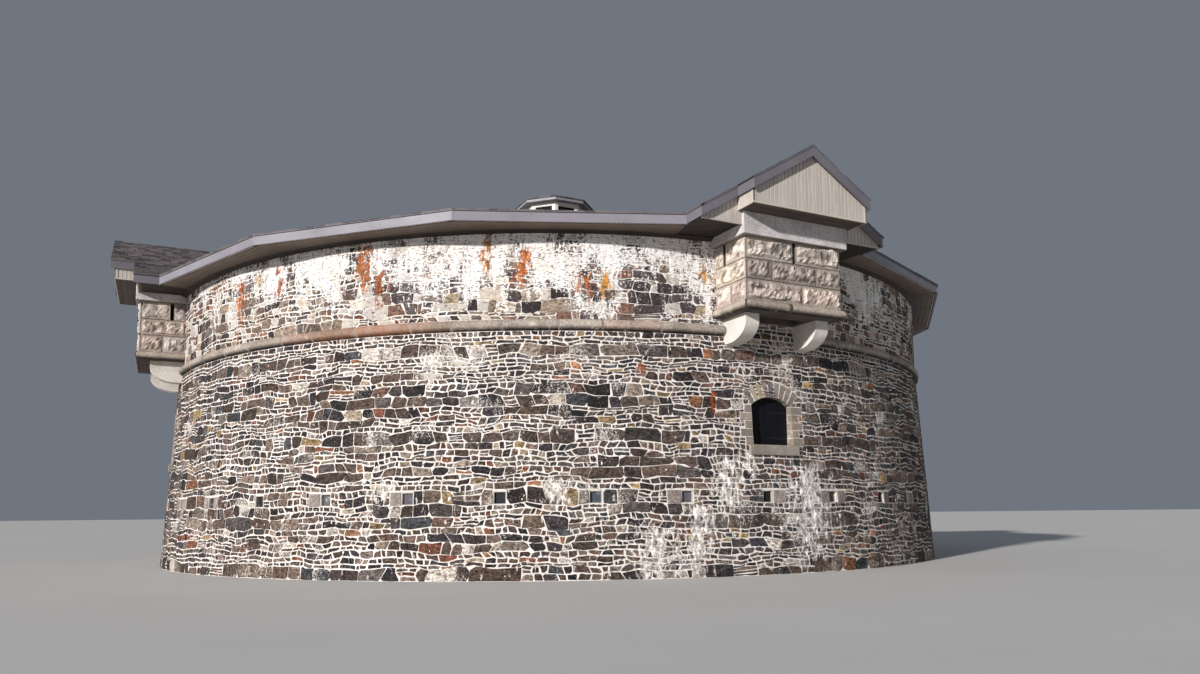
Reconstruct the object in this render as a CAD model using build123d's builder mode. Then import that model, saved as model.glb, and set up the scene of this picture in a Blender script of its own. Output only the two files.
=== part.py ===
"""Martello tower: a round battered gun tower with four machicolations under gabled dormers.

Millimetres, +Z up. The origin is on the tower's axis at ground level.
A turn is an angle in degrees seen from above, anticlockwise from the front, -Y:
0 is the front, 90 the right side, +X, 180 the back and 270 the left side.
"""

from build123d import *
from math import cos, radians, sin
import os

# The four sides that carry a machicolation
SIDES = {"front": 0, "right": 90, "back": 180, "left": 270}

# The four quarters between them, each from the turn where it starts
QUARTERS = {"front_right": 0, "back_right": 90, "back_left": 180, "front_left": 270}

# Round wall, lower part, from the ground to the top of the string course
base_radius = 10970
batter = 0.062
store_wall = 2470
room_wall = 2370
lower_segments = 8

# String course: a half-round stone ring let into the top of the lower wall
string_bottom_z = 4760
string_height = 220
string_tail = 300

# Parapet, the upper part of the round wall
parapet_thickness = 1830
parapet_height = 1755

# Floors, each seated on a ledge inside the wall
room_floor_z = 1950
room_floor_thickness = 300
platform_thickness = 500

# Windows, one below each of three machicolations, at a height above the first floor
window_width = 1000
window_sill_rise = 630
window_jamb_height = 810
window_rise = 180
shutter_depth = 200
shutter_thickness = 60

# Doorway below the back machicolation, at the level of the first floor
door_width = 1100
door_sill_rise = 50
door_jamb_height = 1900
door_rise = 200
door_depth = 300
door_thickness = 80

# Sill slabs under the windows and the doorway
sill_height = 200
sill_overhang = 110
sill_projection = 60
sill_tail = 350

# Square vents round the lower wall
vent_count = 38
vent_start = -1.2
vent_size = 250
vent_bottom_z = 1420
vent_pocket = 300

# Corbels, two under each machicolation
corbel_inset = 140
corbel_width = 320
corbel_height = 510
corbel_reach = 700
corbel_front = 130
corbel_toe = 110
corbel_tail = 400

# Machicolation box: floor slab, walls with loopholes, and the cap that carries the gable
slab_rise = 120
slab_height = 190
slab_overhang = 100
slab_edge_flat = 4
box_half_width = 1170
box_reach = 930
box_wall = 300
bond_depth = 300
loophole_width = 70
loophole_height = 430
side_loophole_offset = 210
drop_slot_inset = 270
drop_slot_width = 380
drop_slot_gap = 120
cap_drop = 195
cap_height = 440
cap_overhang = 110

# Main roof: sixteen sides, low pitch
roof_sides = 16
eave_reach = 559
eave_rise = 195
roof_slope = 0.3057
roof_deck = 120
fascia_height = 210
fascia_thickness = 30
soffit_thickness = 20
plate_width = 300
plate_setback = 100

# Dormers: a wide gable on the eaves and a narrower one that projects over the box
dormer_slope = 0.6
dormer_lap = 30
wide_reach = 525
narrow_reach = 510
narrow_overhang = 150
rake_overhang = 100
siding_thickness = 60
siding_inset = 60
gable_floor = 30

# Cupola: eight sides, on the apex of the main roof
cupola_sides = 8
cupola_radius = 1000
cupola_wall = 120
cupola_curb_height = 176
cupola_frame_height = 680
cupola_rail = 110
cupola_eave_radius = 1240
cupola_eave_height = 110
cupola_rise = 330
pane_thickness = 20

# Worked out from the sizes above
platform_z = string_bottom_z + string_height
parapet_radius = base_radius - batter * platform_z
parapet_top_z = platform_z + parapet_height
parapet_inner_radius = parapet_radius - parapet_thickness
store_radius = base_radius - store_wall
room_radius = base_radius - room_wall
room_ledge_z = room_floor_z - room_floor_thickness
platform_ledge_z = platform_z - platform_thickness
window_sill_z = room_floor_z + window_sill_rise
window_spring_z = window_sill_z + window_jamb_height
door_sill_z = room_floor_z + door_sill_rise
door_spring_z = door_sill_z + door_jamb_height
slab_bottom_z = platform_z + slab_rise
slab_top_z = slab_bottom_z + slab_height
box_top_z = parapet_top_z - cap_drop
cap_top_z = box_top_z + cap_height
box_front = parapet_radius + box_reach
slab_front = box_front + slab_overhang
cap_front = box_front + cap_overhang
slab_half_width = box_half_width + slab_overhang
cap_half_width = box_half_width + cap_overhang
passage_half_width = box_half_width - box_wall
drop_slot_length = 2 * (passage_half_width - drop_slot_inset)
corbel_outer_offset = box_half_width - corbel_inset
corbel_spacing = 2 * corbel_outer_offset - corbel_width
bond_radius = parapet_radius - bond_depth
side_angle = 360 / roof_sides
eave_apothem = parapet_radius + eave_reach
eave_corner_radius = eave_apothem / cos(radians(side_angle / 2))
half_side = eave_corner_radius * sin(radians(side_angle / 2))
dormer_half_width = half_side + dormer_lap
eave_top_z = parapet_top_z + eave_rise
fascia_bottom_z = eave_top_z - fascia_height
deck_corner_radius = eave_corner_radius - fascia_thickness / cos(radians(side_angle / 2))
wide_front = eave_apothem + wide_reach
narrow_half_width = cap_half_width + narrow_overhang
narrow_front = wide_front + narrow_reach
plate_outer_radius = parapet_radius - plate_setback
curb_foot_z = eave_top_z + roof_slope * (eave_apothem - cupola_radius)
curb_top_z = curb_foot_z + cupola_curb_height
apex_radius = cupola_radius - cupola_wall
beyond = base_radius * 2


def outward(turn):
    """Unit vector out of the tower at a turn."""
    return Vector(sin(radians(turn)), -cos(radians(turn)), 0)


def across(turn):
    """Unit vector to the right along the wall, seen from outside, at a turn."""
    return Vector(cos(radians(turn)), sin(radians(turn)), 0)


def level_plane(turn, z=0):
    """Level plane whose x runs outward and whose y runs to the right."""
    return Plane(origin=(0, 0, z), x_dir=outward(turn), z_dir=(0, 0, 1))


def radial_plane(turn):
    """Upright plane through the axis whose x runs outward and whose y runs up."""
    return Plane(origin=(0, 0, 0), x_dir=outward(turn), z_dir=-across(turn))


def face_plane(turn, radius):
    """Upright plane across a turn, whose x runs to the right and y up, facing outward."""
    return Plane(origin=outward(turn) * radius, x_dir=across(turn), z_dir=outward(turn))


def radius_at(z):
    """Radius of the battered wall face at a height."""
    return base_radius - batter * z


def strip(turn, inner, outer, half_width, bottom, top, mode=Mode.ADD):
    """Block along a side, from one radius to another, across its centre line."""
    with BuildSketch(level_plane(turn, bottom)) as outline:
        with Locations(((inner + outer) / 2, 0)):
            Rectangle(outer - inner, 2 * half_width)
    extrude(outline.sketch, amount=top - bottom, mode=mode)


def arched_prism(turn, outer, inner, width, sill, spring, rise):
    """Arched block of a window or doorway, from one radius in to another."""
    with BuildSketch(face_plane(turn, outer)) as outline:
        with BuildLine():
            Polyline((width / 2, spring), (width / 2, sill), (-width / 2, sill), (-width / 2, spring))
            ThreePointArc((-width / 2, spring), (0, spring + rise), (width / 2, spring))
        make_face()
    extrude(outline.sketch, amount=inner - outer)


def ring_sector(turn, arc, points):
    """Part of a ring: a profile of (radius, height) points turned about the axis."""
    with BuildSketch(radial_plane(turn)) as outline:
        with BuildLine():
            Polyline(*points, close=True)
        make_face()
    revolve(outline.sketch, axis=Axis.Z, revolution_arc=arc)


def sill_block(turn, top, opening_width, outer):
    """Block of a sill slab, from its tail in the wall out to a radius."""
    half_width = opening_width / 2 + sill_overhang
    strip(turn, radius_at(top) - sill_tail, outer, half_width, top - sill_height, top)


def vent_block(turn):
    """Block of a square vent, as deep as its pocket in the wall."""
    back = radius_at(vent_bottom_z) - vent_pocket
    strip(turn, back, beyond, vent_size / 2, vent_bottom_z, vent_bottom_z + vent_size)


def clear_sides(half_width):
    """Take away the strip along each side, from the axis outwards and for the whole height."""
    for turn in SIDES.values():
        strip(turn, 0, beyond, half_width, 0, beyond, Mode.SUBTRACT)


def corbel_pair(turn):
    """The two corbels of one side, each a quarter-round bracket with a tail in the wall."""
    tail_radius = parapet_radius - corbel_tail
    tip_radius = parapet_radius + corbel_reach
    toe_radius = radius_at(slab_bottom_z - corbel_height) + corbel_toe
    bottom = slab_bottom_z - corbel_height
    for side in (-1, 1):
        middle = side * corbel_spacing / 2
        start = across(turn) * (middle + corbel_width / 2)
        with BuildSketch(Plane(origin=start, x_dir=outward(turn), z_dir=-across(turn))) as outline:
            with BuildLine():
                Polyline(
                    (toe_radius, bottom),
                    (tail_radius, bottom),
                    (tail_radius, slab_bottom_z),
                    (tip_radius, slab_bottom_z),
                    (tip_radius, slab_bottom_z - corbel_front),
                )
                EllipticalCenterArc(
                    (toe_radius, slab_bottom_z - corbel_front),
                    tip_radius - toe_radius,
                    corbel_height - corbel_front,
                    start_angle=270,
                    arc_size=90,
                )
            make_face()
        extrude(outline.sketch, amount=corbel_width)


def roof_polygon(corner_radius, mode=Mode.ADD):
    """Plan of the main roof, with the middle of a side on each of the four sides."""
    RegularPolygon(corner_radius, roof_sides, rotation=side_angle / 2, mode=mode)


def roof_frustum(corner_radius, top_radius, bottom_z):
    """Sixteen-sided frustum at the pitch of the main roof."""
    rise = (corner_radius - top_radius) * cos(radians(side_angle / 2)) * roof_slope
    with BuildSketch(Plane.XY.offset(bottom_z)) as foot:
        roof_polygon(corner_radius)
    with BuildSketch(Plane.XY.offset(bottom_z + rise)) as top:
        roof_polygon(top_radius)
    loft([foot.sketch, top.sketch])


def under_roof(drop):
    """All that lies under the slopes of the main roof, lowered by a drop."""
    with BuildSketch(Plane.XY) as outline:
        roof_polygon(eave_corner_radius)
    extrude(outline.sketch, amount=eave_top_z - drop)
    roof_frustum(eave_corner_radius, apex_radius, eave_top_z - drop)


def slope_height(offset):
    """Height of the dormer's roof at a distance from its centre line."""
    return eave_top_z + dormer_slope * (dormer_half_width - abs(offset))


def slope_band(turn, radius, inner_offset, outer_offset, thickness, length):
    """Part of one slope of a dormer roof, as a band of even height, from a radius inwards."""
    with BuildSketch(face_plane(turn, radius)) as outline:
        with BuildLine():
            Polyline(
                (inner_offset, slope_height(inner_offset)),
                (outer_offset, slope_height(outer_offset)),
                (outer_offset, slope_height(outer_offset) - thickness),
                (inner_offset, slope_height(inner_offset) - thickness),
                close=True,
            )
        make_face()
    extrude(outline.sketch, amount=-length)


def gable_panel(turn, radius, inner_offset, outer_offset, bottom, length):
    """Board panel under one slope of the dormer, from a radius inwards."""
    with BuildSketch(face_plane(turn, radius)) as outline:
        with BuildLine():
            Polyline(
                (inner_offset, bottom),
                (outer_offset, bottom),
                (outer_offset, slope_height(outer_offset) - roof_deck),
                (inner_offset, slope_height(inner_offset) - roof_deck),
                close=True,
            )
        make_face()
    extrude(outline.sketch, amount=-length)


def octagon_ring(bottom, height, radius, wall):
    """Ring of the cupola's plan."""
    with BuildSketch(Plane.XY.offset(bottom)) as outline:
        RegularPolygon(radius, cupola_sides, rotation=180 / cupola_sides)
        RegularPolygon(radius - wall, cupola_sides, rotation=180 / cupola_sides, mode=Mode.SUBTRACT)
    extrude(outline.sketch, amount=height)


def save(piece, name):
    """Label a finished piece and write it."""
    piece.part.label = name
    export_step(piece.part, f"parts/{name}.step")


os.makedirs("parts", exist_ok=True)

# Lower wall: battered outside, stepped inside to carry the two floors
window_turns = [turn for name, turn in SIDES.items() if name != "back"]
door_turn = SIDES["back"]

with BuildPart() as string_seat:
    string_middle_z = string_bottom_z + string_height / 2
    with BuildSketch(radial_plane(0)):
        with Locations((parapet_radius, string_middle_z)):
            Rectangle(2 * string_tail, string_height)
    revolve(axis=Axis.Z)
    clear_sides(corbel_outer_offset)

with BuildPart() as lower_cuts:
    for turn in SIDES.values():
        corbel_pair(turn)
    for turn in window_turns:
        arched_prism(turn, beyond, 0, window_width, window_sill_z, window_spring_z, window_rise)
        sill_block(turn, window_sill_z, window_width, beyond)
    arched_prism(door_turn, beyond, 0, door_width, door_sill_z, door_spring_z, door_rise)
    sill_block(door_turn, door_sill_z, door_width, beyond)
    for number in range(vent_count):
        vent_block(vent_start + number * 360 / vent_count)

lower_profile = [
    (store_radius, 0),
    (base_radius, 0),
    (parapet_radius, platform_z),
    (parapet_inner_radius, platform_z),
    (parapet_inner_radius, platform_ledge_z),
    (room_radius, platform_ledge_z),
    (room_radius, room_ledge_z),
    (store_radius, room_ledge_z),
]
lower_arc = 360 / lower_segments
for number in range(lower_segments):
    with BuildPart() as lower_wall:
        ring_sector((number - 0.5) * lower_arc, lower_arc, lower_profile)
        add(string_seat.part, mode=Mode.SUBTRACT)
        add(lower_cuts.part, mode=Mode.SUBTRACT)
    save(lower_wall, f"lower_wall_{number + 1}")

# String course, in four lengths between the corbels
with BuildPart() as string_course:
    with BuildSketch(radial_plane(0)):
        with Locations((parapet_radius - string_tail / 2, string_middle_z)):
            Rectangle(string_tail, string_height)
        with Locations((parapet_radius, string_middle_z)):
            Circle(string_height / 2)
    revolve(axis=Axis.Z)
    clear_sides(corbel_outer_offset)
save(string_course, "string_course")

# Sills, shutters and the door, set into the openings
with BuildPart() as sills:
    for turn in window_turns:
        sill_block(turn, window_sill_z, window_width, radius_at(window_sill_z) + sill_projection)
    sill_block(door_turn, door_sill_z, door_width, radius_at(door_sill_z) + sill_projection)
save(sills, "sills")

with BuildPart() as window_shutters:
    shutter_face = radius_at(window_sill_z) - shutter_depth
    shutter_back = shutter_face - shutter_thickness
    for turn in window_turns:
        arched_prism(
            turn, shutter_face, shutter_back, window_width, window_sill_z, window_spring_z, window_rise
        )
save(window_shutters, "window_shutters")

with BuildPart() as entrance_door:
    door_face = radius_at(door_sill_z) - door_depth
    arched_prism(
        door_turn, door_face, door_face - door_thickness, door_width, door_sill_z, door_spring_z, door_rise
    )
save(entrance_door, "entrance_door")

# First floor and gun platform
with BuildPart() as first_floor:
    with BuildSketch(Plane.XY.offset(room_ledge_z)):
        Circle(room_radius)
    extrude(amount=room_floor_thickness)
save(first_floor, "first_floor")

with BuildPart() as gun_platform:
    with BuildSketch(Plane.XY.offset(platform_ledge_z)):
        Circle(parapet_inner_radius)
    extrude(amount=platform_thickness)
save(gun_platform, "gun_platform")

# Corbels
with BuildPart() as corbels:
    for turn in SIDES.values():
        corbel_pair(turn)
save(corbels, "corbels")

# Parapet, in four quarters that meet under the machicolation floors
with BuildPart() as parapet_cuts:
    for turn in SIDES.values():
        corbel_pair(turn)
        strip(turn, bond_radius, beyond, slab_half_width, slab_bottom_z, slab_top_z)
        strip(turn, bond_radius, beyond, box_half_width, slab_top_z, box_top_z)
        strip(turn, bond_radius, beyond, cap_half_width, box_top_z, cap_top_z)
        strip(turn, 0, beyond, passage_half_width, slab_bottom_z, cap_top_z)

parapet_profile = [
    (parapet_inner_radius, platform_z),
    (parapet_radius, platform_z),
    (parapet_radius, parapet_top_z),
    (parapet_inner_radius, parapet_top_z),
]
for name, turn in QUARTERS.items():
    with BuildPart() as parapet:
        ring_sector(turn, 90, parapet_profile)
        add(parapet_cuts.part, mode=Mode.SUBTRACT)
    save(parapet, f"parapet_{name}")

# Machicolations: slab with its rounded edge and drop slot, box walls, and cap
for name, turn in SIDES.items():
    with BuildPart() as slab:
        strip(turn, bond_radius, slab_front, slab_half_width, slab_bottom_z, slab_top_z)
        out = outward(turn)
        level_edges = slab.edges().filter_by(Axis.Z, reverse=True)
        fillet(
            level_edges.filter_by(lambda edge: edge.center().dot(out) > parapet_radius),
            (slab_height - slab_edge_flat) / 2,
        )
        slot_start = parapet_radius + drop_slot_gap
        strip(
            turn, slot_start, slot_start + drop_slot_width, drop_slot_length / 2, 0, beyond, Mode.SUBTRACT
        )
    save(slab, f"machicolation_floor_{name}")

    with BuildPart() as box:
        strip(turn, bond_radius, box_front, box_half_width, slab_top_z, box_top_z)
        strip(turn, 0, box_front - box_wall, passage_half_width, 0, beyond, Mode.SUBTRACT)
        loophole_z = box_top_z - loophole_height
        strip(turn, 0, beyond, loophole_width / 2, loophole_z, beyond, Mode.SUBTRACT)
        side_loophole = parapet_radius + side_loophole_offset
        strip(
            turn, side_loophole, side_loophole + loophole_width, beyond, loophole_z, beyond, Mode.SUBTRACT
        )
    save(box, f"machicolation_wall_{name}")

with BuildPart() as caps:
    for turn in SIDES.values():
        strip(turn, bond_radius, cap_front, cap_half_width, box_top_z, cap_top_z)
        strip(turn, 0, box_front - box_wall, passage_half_width, 0, beyond, Mode.SUBTRACT)
save(caps, "machicolation_caps")

# Main roof: a shell in four quarters, notched where the machicolation caps come up
with BuildPart() as roof_mass:
    under_roof(0)

with BuildPart() as attic_mass:
    under_roof(roof_deck)

for name, turn in QUARTERS.items():
    with BuildPart() as roof_deck_quarter:
        ring_sector(turn, 90, [(0, 0), (beyond, 0), (beyond, beyond), (0, beyond)])
        add(roof_mass.part, mode=Mode.INTERSECT)
        with BuildSketch(Plane.XY):
            roof_polygon(deck_corner_radius)
        extrude(amount=beyond, mode=Mode.INTERSECT)
        add(attic_mass.part, mode=Mode.SUBTRACT)
        with BuildSketch(Plane.XY):
            roof_polygon(apex_radius)
        extrude(amount=beyond, mode=Mode.SUBTRACT)
        for side_turn in SIDES.values():
            strip(side_turn, bond_radius, beyond, cap_half_width, 0, beyond, Mode.SUBTRACT)
    save(roof_deck_quarter, f"roof_deck_{name}")

# Eaves: the timber plate on the wall, the boarded soffit and the fascia
with BuildPart() as wall_plate:
    with BuildSketch(Plane.XY.offset(parapet_top_z)):
        Circle(plate_outer_radius)
        Circle(plate_outer_radius - plate_width, mode=Mode.SUBTRACT)
    extrude(amount=beyond)
    add(attic_mass.part, mode=Mode.INTERSECT)
    clear_sides(cap_half_width)
save(wall_plate, "wall_plate")

siding_back = wide_front - rake_overhang - siding_thickness
with BuildPart() as eaves_soffit:
    with BuildSketch(Plane.XY.offset(parapet_top_z)):
        roof_polygon(deck_corner_radius)
        with PolarLocations(0, len(SIDES)):
            with Locations((siding_back / 2, 0)):
                Rectangle(siding_back, 2 * (dormer_half_width - fascia_thickness))
        Circle(plate_outer_radius, mode=Mode.SUBTRACT)
    extrude(amount=soffit_thickness)
    clear_sides(cap_half_width)
save(eaves_soffit, "eaves_soffit")

with BuildPart() as eaves_fascia:
    with BuildSketch(Plane.XY.offset(fascia_bottom_z)):
        roof_polygon(eave_corner_radius)
        roof_polygon(deck_corner_radius, Mode.SUBTRACT)
    extrude(amount=fascia_height)
    clear_sides(dormer_half_width)
save(eaves_fascia, "eaves_fascia")

# Dormers: boarded gables on the caps, and their stepped roofs
cheek_outer = narrow_half_width - siding_inset
cheek_inner = cheek_outer - siding_thickness
wide_siding = wide_front - rake_overhang
narrow_siding = narrow_front - rake_overhang
for name, turn in SIDES.items():
    with BuildPart() as gable:
        strip(turn, box_front - box_wall, narrow_siding, cheek_outer, cap_top_z, cap_top_z + gable_floor)
        for side in (-1, 1):
            gable_panel(turn, narrow_siding, 0, side * cheek_outer, cap_top_z, siding_thickness)
            cheek_length = narrow_siding - siding_back
            gable_panel(turn, narrow_siding, side * cheek_inner, side * cheek_outer, cap_top_z, cheek_length)
            wide_edge = side * (dormer_half_width - siding_inset)
            gable_panel(
                turn, wide_siding, side * cap_half_width, wide_edge, fascia_bottom_z, siding_thickness
            )
    save(gable, f"dormer_gable_{name}")

    with BuildPart() as dormer_roof:
        for side in (-1, 1):
            slope_band(turn, wide_front, 0, side * dormer_half_width, roof_deck, wide_front)
            slope_band(turn, narrow_front, 0, side * narrow_half_width, roof_deck, narrow_reach)
            rake_start = side * narrow_half_width
            slope_band(turn, wide_front, rake_start, side * dormer_half_width, fascia_height, fascia_thickness)
            slope_band(turn, narrow_front, 0, rake_start, fascia_height, fascia_thickness)
            wide_eave = side * (dormer_half_width - fascia_thickness)
            slope_band(turn, wide_front, wide_eave, side * dormer_half_width, fascia_height, wide_reach)
            narrow_eave = side * (narrow_half_width - fascia_thickness)
            board_length = narrow_reach + fascia_thickness
            slope_band(turn, narrow_front, narrow_eave, rake_start, fascia_height, board_length)
        add(roof_mass.part, mode=Mode.SUBTRACT)
    save(dormer_roof, f"dormer_roof_{name}")

# Cupola: curb seated on the slopes, glazed frame and low roof
with BuildPart() as cupola_curb:
    octagon_ring(eave_top_z, curb_top_z - eave_top_z, cupola_radius, cupola_wall)
    add(roof_mass.part, mode=Mode.SUBTRACT)
save(cupola_curb, "cupola_curb")

cupola_turns = [number * 360 / cupola_sides for number in range(cupola_sides)]
pane_half_width = cupola_radius * sin(radians(180 / cupola_sides)) - cupola_rail
pane_bottom_z = curb_top_z + cupola_rail
frame_top_z = curb_top_z + cupola_frame_height
pane_top_z = frame_top_z - cupola_rail
with BuildPart() as cupola_frame:
    octagon_ring(curb_top_z, cupola_frame_height, cupola_radius, cupola_wall)
    for turn in cupola_turns:
        strip(turn, 0, beyond, pane_half_width, pane_bottom_z, pane_top_z, Mode.SUBTRACT)
save(cupola_frame, "cupola_frame")

pane_back = (cupola_radius - cupola_wall / 2) * cos(radians(180 / cupola_sides))
with BuildPart() as cupola_glass:
    for turn in cupola_turns:
        strip(turn, pane_back, pane_back + pane_thickness, pane_half_width, pane_bottom_z, pane_top_z)
save(cupola_glass, "cupola_glass")

with BuildPart() as cupola_roof:
    with BuildSketch(Plane.XY.offset(frame_top_z)):
        RegularPolygon(cupola_eave_radius, cupola_sides, rotation=180 / cupola_sides)
    extrude(amount=cupola_eave_height)
    with BuildSketch(Plane.XY.offset(frame_top_z + cupola_eave_height)) as cupola_eave:
        RegularPolygon(cupola_eave_radius, cupola_sides, rotation=180 / cupola_sides)
    with BuildSketch(Plane.XY.offset(frame_top_z + cupola_eave_height + cupola_rise)) as cupola_top:
        RegularPolygon(cupola_wall / 2, cupola_sides, rotation=180 / cupola_sides)
    loft([cupola_eave.sketch, cupola_top.sketch])
save(cupola_roof, "cupola_roof")
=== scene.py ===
"""Looks of the martello tower: stones, boards, shingles and finishes set on its solid frame.

Metres, in the frame's own axes. A turn is an angle in degrees seen from above, anticlockwise from
the front, -Y. A surface takes u, v and w: along it, up it and out of it.
"""
import math
import random
from collections import namedtuple
from functools import partial

import bpy
from mathutils import Matrix, Vector, noise


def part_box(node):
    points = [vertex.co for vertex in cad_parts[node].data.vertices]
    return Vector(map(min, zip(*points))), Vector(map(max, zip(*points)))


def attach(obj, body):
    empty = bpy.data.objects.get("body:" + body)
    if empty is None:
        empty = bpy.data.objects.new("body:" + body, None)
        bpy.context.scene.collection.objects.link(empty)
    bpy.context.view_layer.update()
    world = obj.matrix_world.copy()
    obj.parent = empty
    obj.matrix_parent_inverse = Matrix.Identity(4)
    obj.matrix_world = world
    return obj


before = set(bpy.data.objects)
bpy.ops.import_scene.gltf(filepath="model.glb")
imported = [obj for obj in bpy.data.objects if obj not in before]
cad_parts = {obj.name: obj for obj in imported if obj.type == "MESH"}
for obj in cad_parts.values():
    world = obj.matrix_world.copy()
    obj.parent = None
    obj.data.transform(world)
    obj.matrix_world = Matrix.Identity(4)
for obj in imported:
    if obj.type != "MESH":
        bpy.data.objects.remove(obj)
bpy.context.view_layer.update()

# Where things stand on the tower
SIDES = {"front": 0, "right": 90, "back": 180, "left": 270}
WINDOW_SIDES = ("front", "right", "left")
QUARTERS = ("front_right", "back_right", "back_left", "front_left")
WALL_SEGMENTS = 8
ROOF_SIDES = 16
FACET_ANGLE = 360 / ROOF_SIDES
HALF_FACET = math.radians(FACET_ANGLE / 2)
HANDS = (-1, 1)

# Round wall
BATTER = 0.062
base_radius = -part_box("lower_wall_1")[0].y
string_bottom, string_top = (corner.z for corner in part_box("string_course"))
string_roll = (string_top - string_bottom) / 2
parapet_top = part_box("parapet_front_left")[1].z
parapet_radius = base_radius - BATTER * string_top
full_round = 2 * math.pi * base_radius

# Windows and doorway, with their segmental arches, sills and vents
WINDOW_SPRING = 3.39
WINDOW_WIDTH = 1.0
WINDOW_ARCH = 0.33
SHUTTER_DEPTH = 0.2
DOOR_SPRING = 3.9
DOOR_ARCH = 0.36
DOOR_DEPTH = 0.28
SILL_HEIGHT = 0.2
SILL_OVERHANG = 0.11
VENT_COUNT = 38
VENT_START = -1.2
VENT_SIZE = 0.25
VENT_BOTTOM = 1.42
window_sill, window_crown = (corner.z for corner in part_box("window_shutters"))
shutter_face = base_radius - BATTER * window_sill - SHUTTER_DEPTH
door_low, door_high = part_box("entrance_door")
door_width = door_high.x - door_low.x

# Machicolations
CORBEL_SPACING = 1.74
CORBEL_WIDTH = 0.32
CORBEL_HEIGHT = 0.51
CORBEL_OUTER = (CORBEL_SPACING + CORBEL_WIDTH) / 2
SIDE_LOOPHOLE_OFFSET = 0.21
LOOPHOLE_WIDTH = 0.07
slab_low, slab_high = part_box("machicolation_floor_front")
box_low, box_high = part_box("machicolation_wall_front")
cap_low, cap_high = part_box("machicolation_caps")
slab_front, slab_half = -slab_low.y, slab_high.x
box_front, box_half = -box_low.y, box_high.x
cap_front = -cap_low.y
cap_half = box_half + cap_front - box_front
slab_roll = (slab_high.z - slab_low.z) / 2 * 0.98

# Roof and dormers
ROOF_SLOPE = 0.3057
DORMER_SLOPE = 0.6
DORMER_LAP = 0.03
ROOF_DECK = 0.12
RAKE_OVERHANG = 0.1
SIDING_INSET = 0.06
NARROW_HALF = 1.43
NARROW_REACH = 0.51
fascia_bottom, eave_top = (corner.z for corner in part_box("eaves_fascia"))
dormer_low, dormer_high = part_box("dormer_roof_front")
dormer_half, ridge_top = dormer_high.x, dormer_high.z
narrow_front = -dormer_low.y
wide_front = narrow_front - NARROW_REACH
narrow_siding = narrow_front - RAKE_OVERHANG
wide_siding = wide_front - RAKE_OVERHANG
cheek_half = NARROW_HALF - SIDING_INSET
fascia_half = dormer_half - DORMER_LAP
eave_apothem = fascia_half / math.tan(HALF_FACET)
facet_turns = [number * FACET_ANGLE for number in range(ROOF_SIDES)]

# Cupola
CUPOLA_SIDES = 8
CUPOLA_RADIUS = 1.0
CUPOLA_EAVE_RADIUS = 1.24
CUPOLA_EAVE_HEIGHT = 0.11
CUPOLA_POST = 0.09
HALF_PANE = math.pi / CUPOLA_SIDES
frame_low, frame_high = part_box("cupola_frame")
cupola_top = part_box("cupola_roof")[1].z
cupola_apothem = CUPOLA_RADIUS * math.cos(HALF_PANE)


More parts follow.
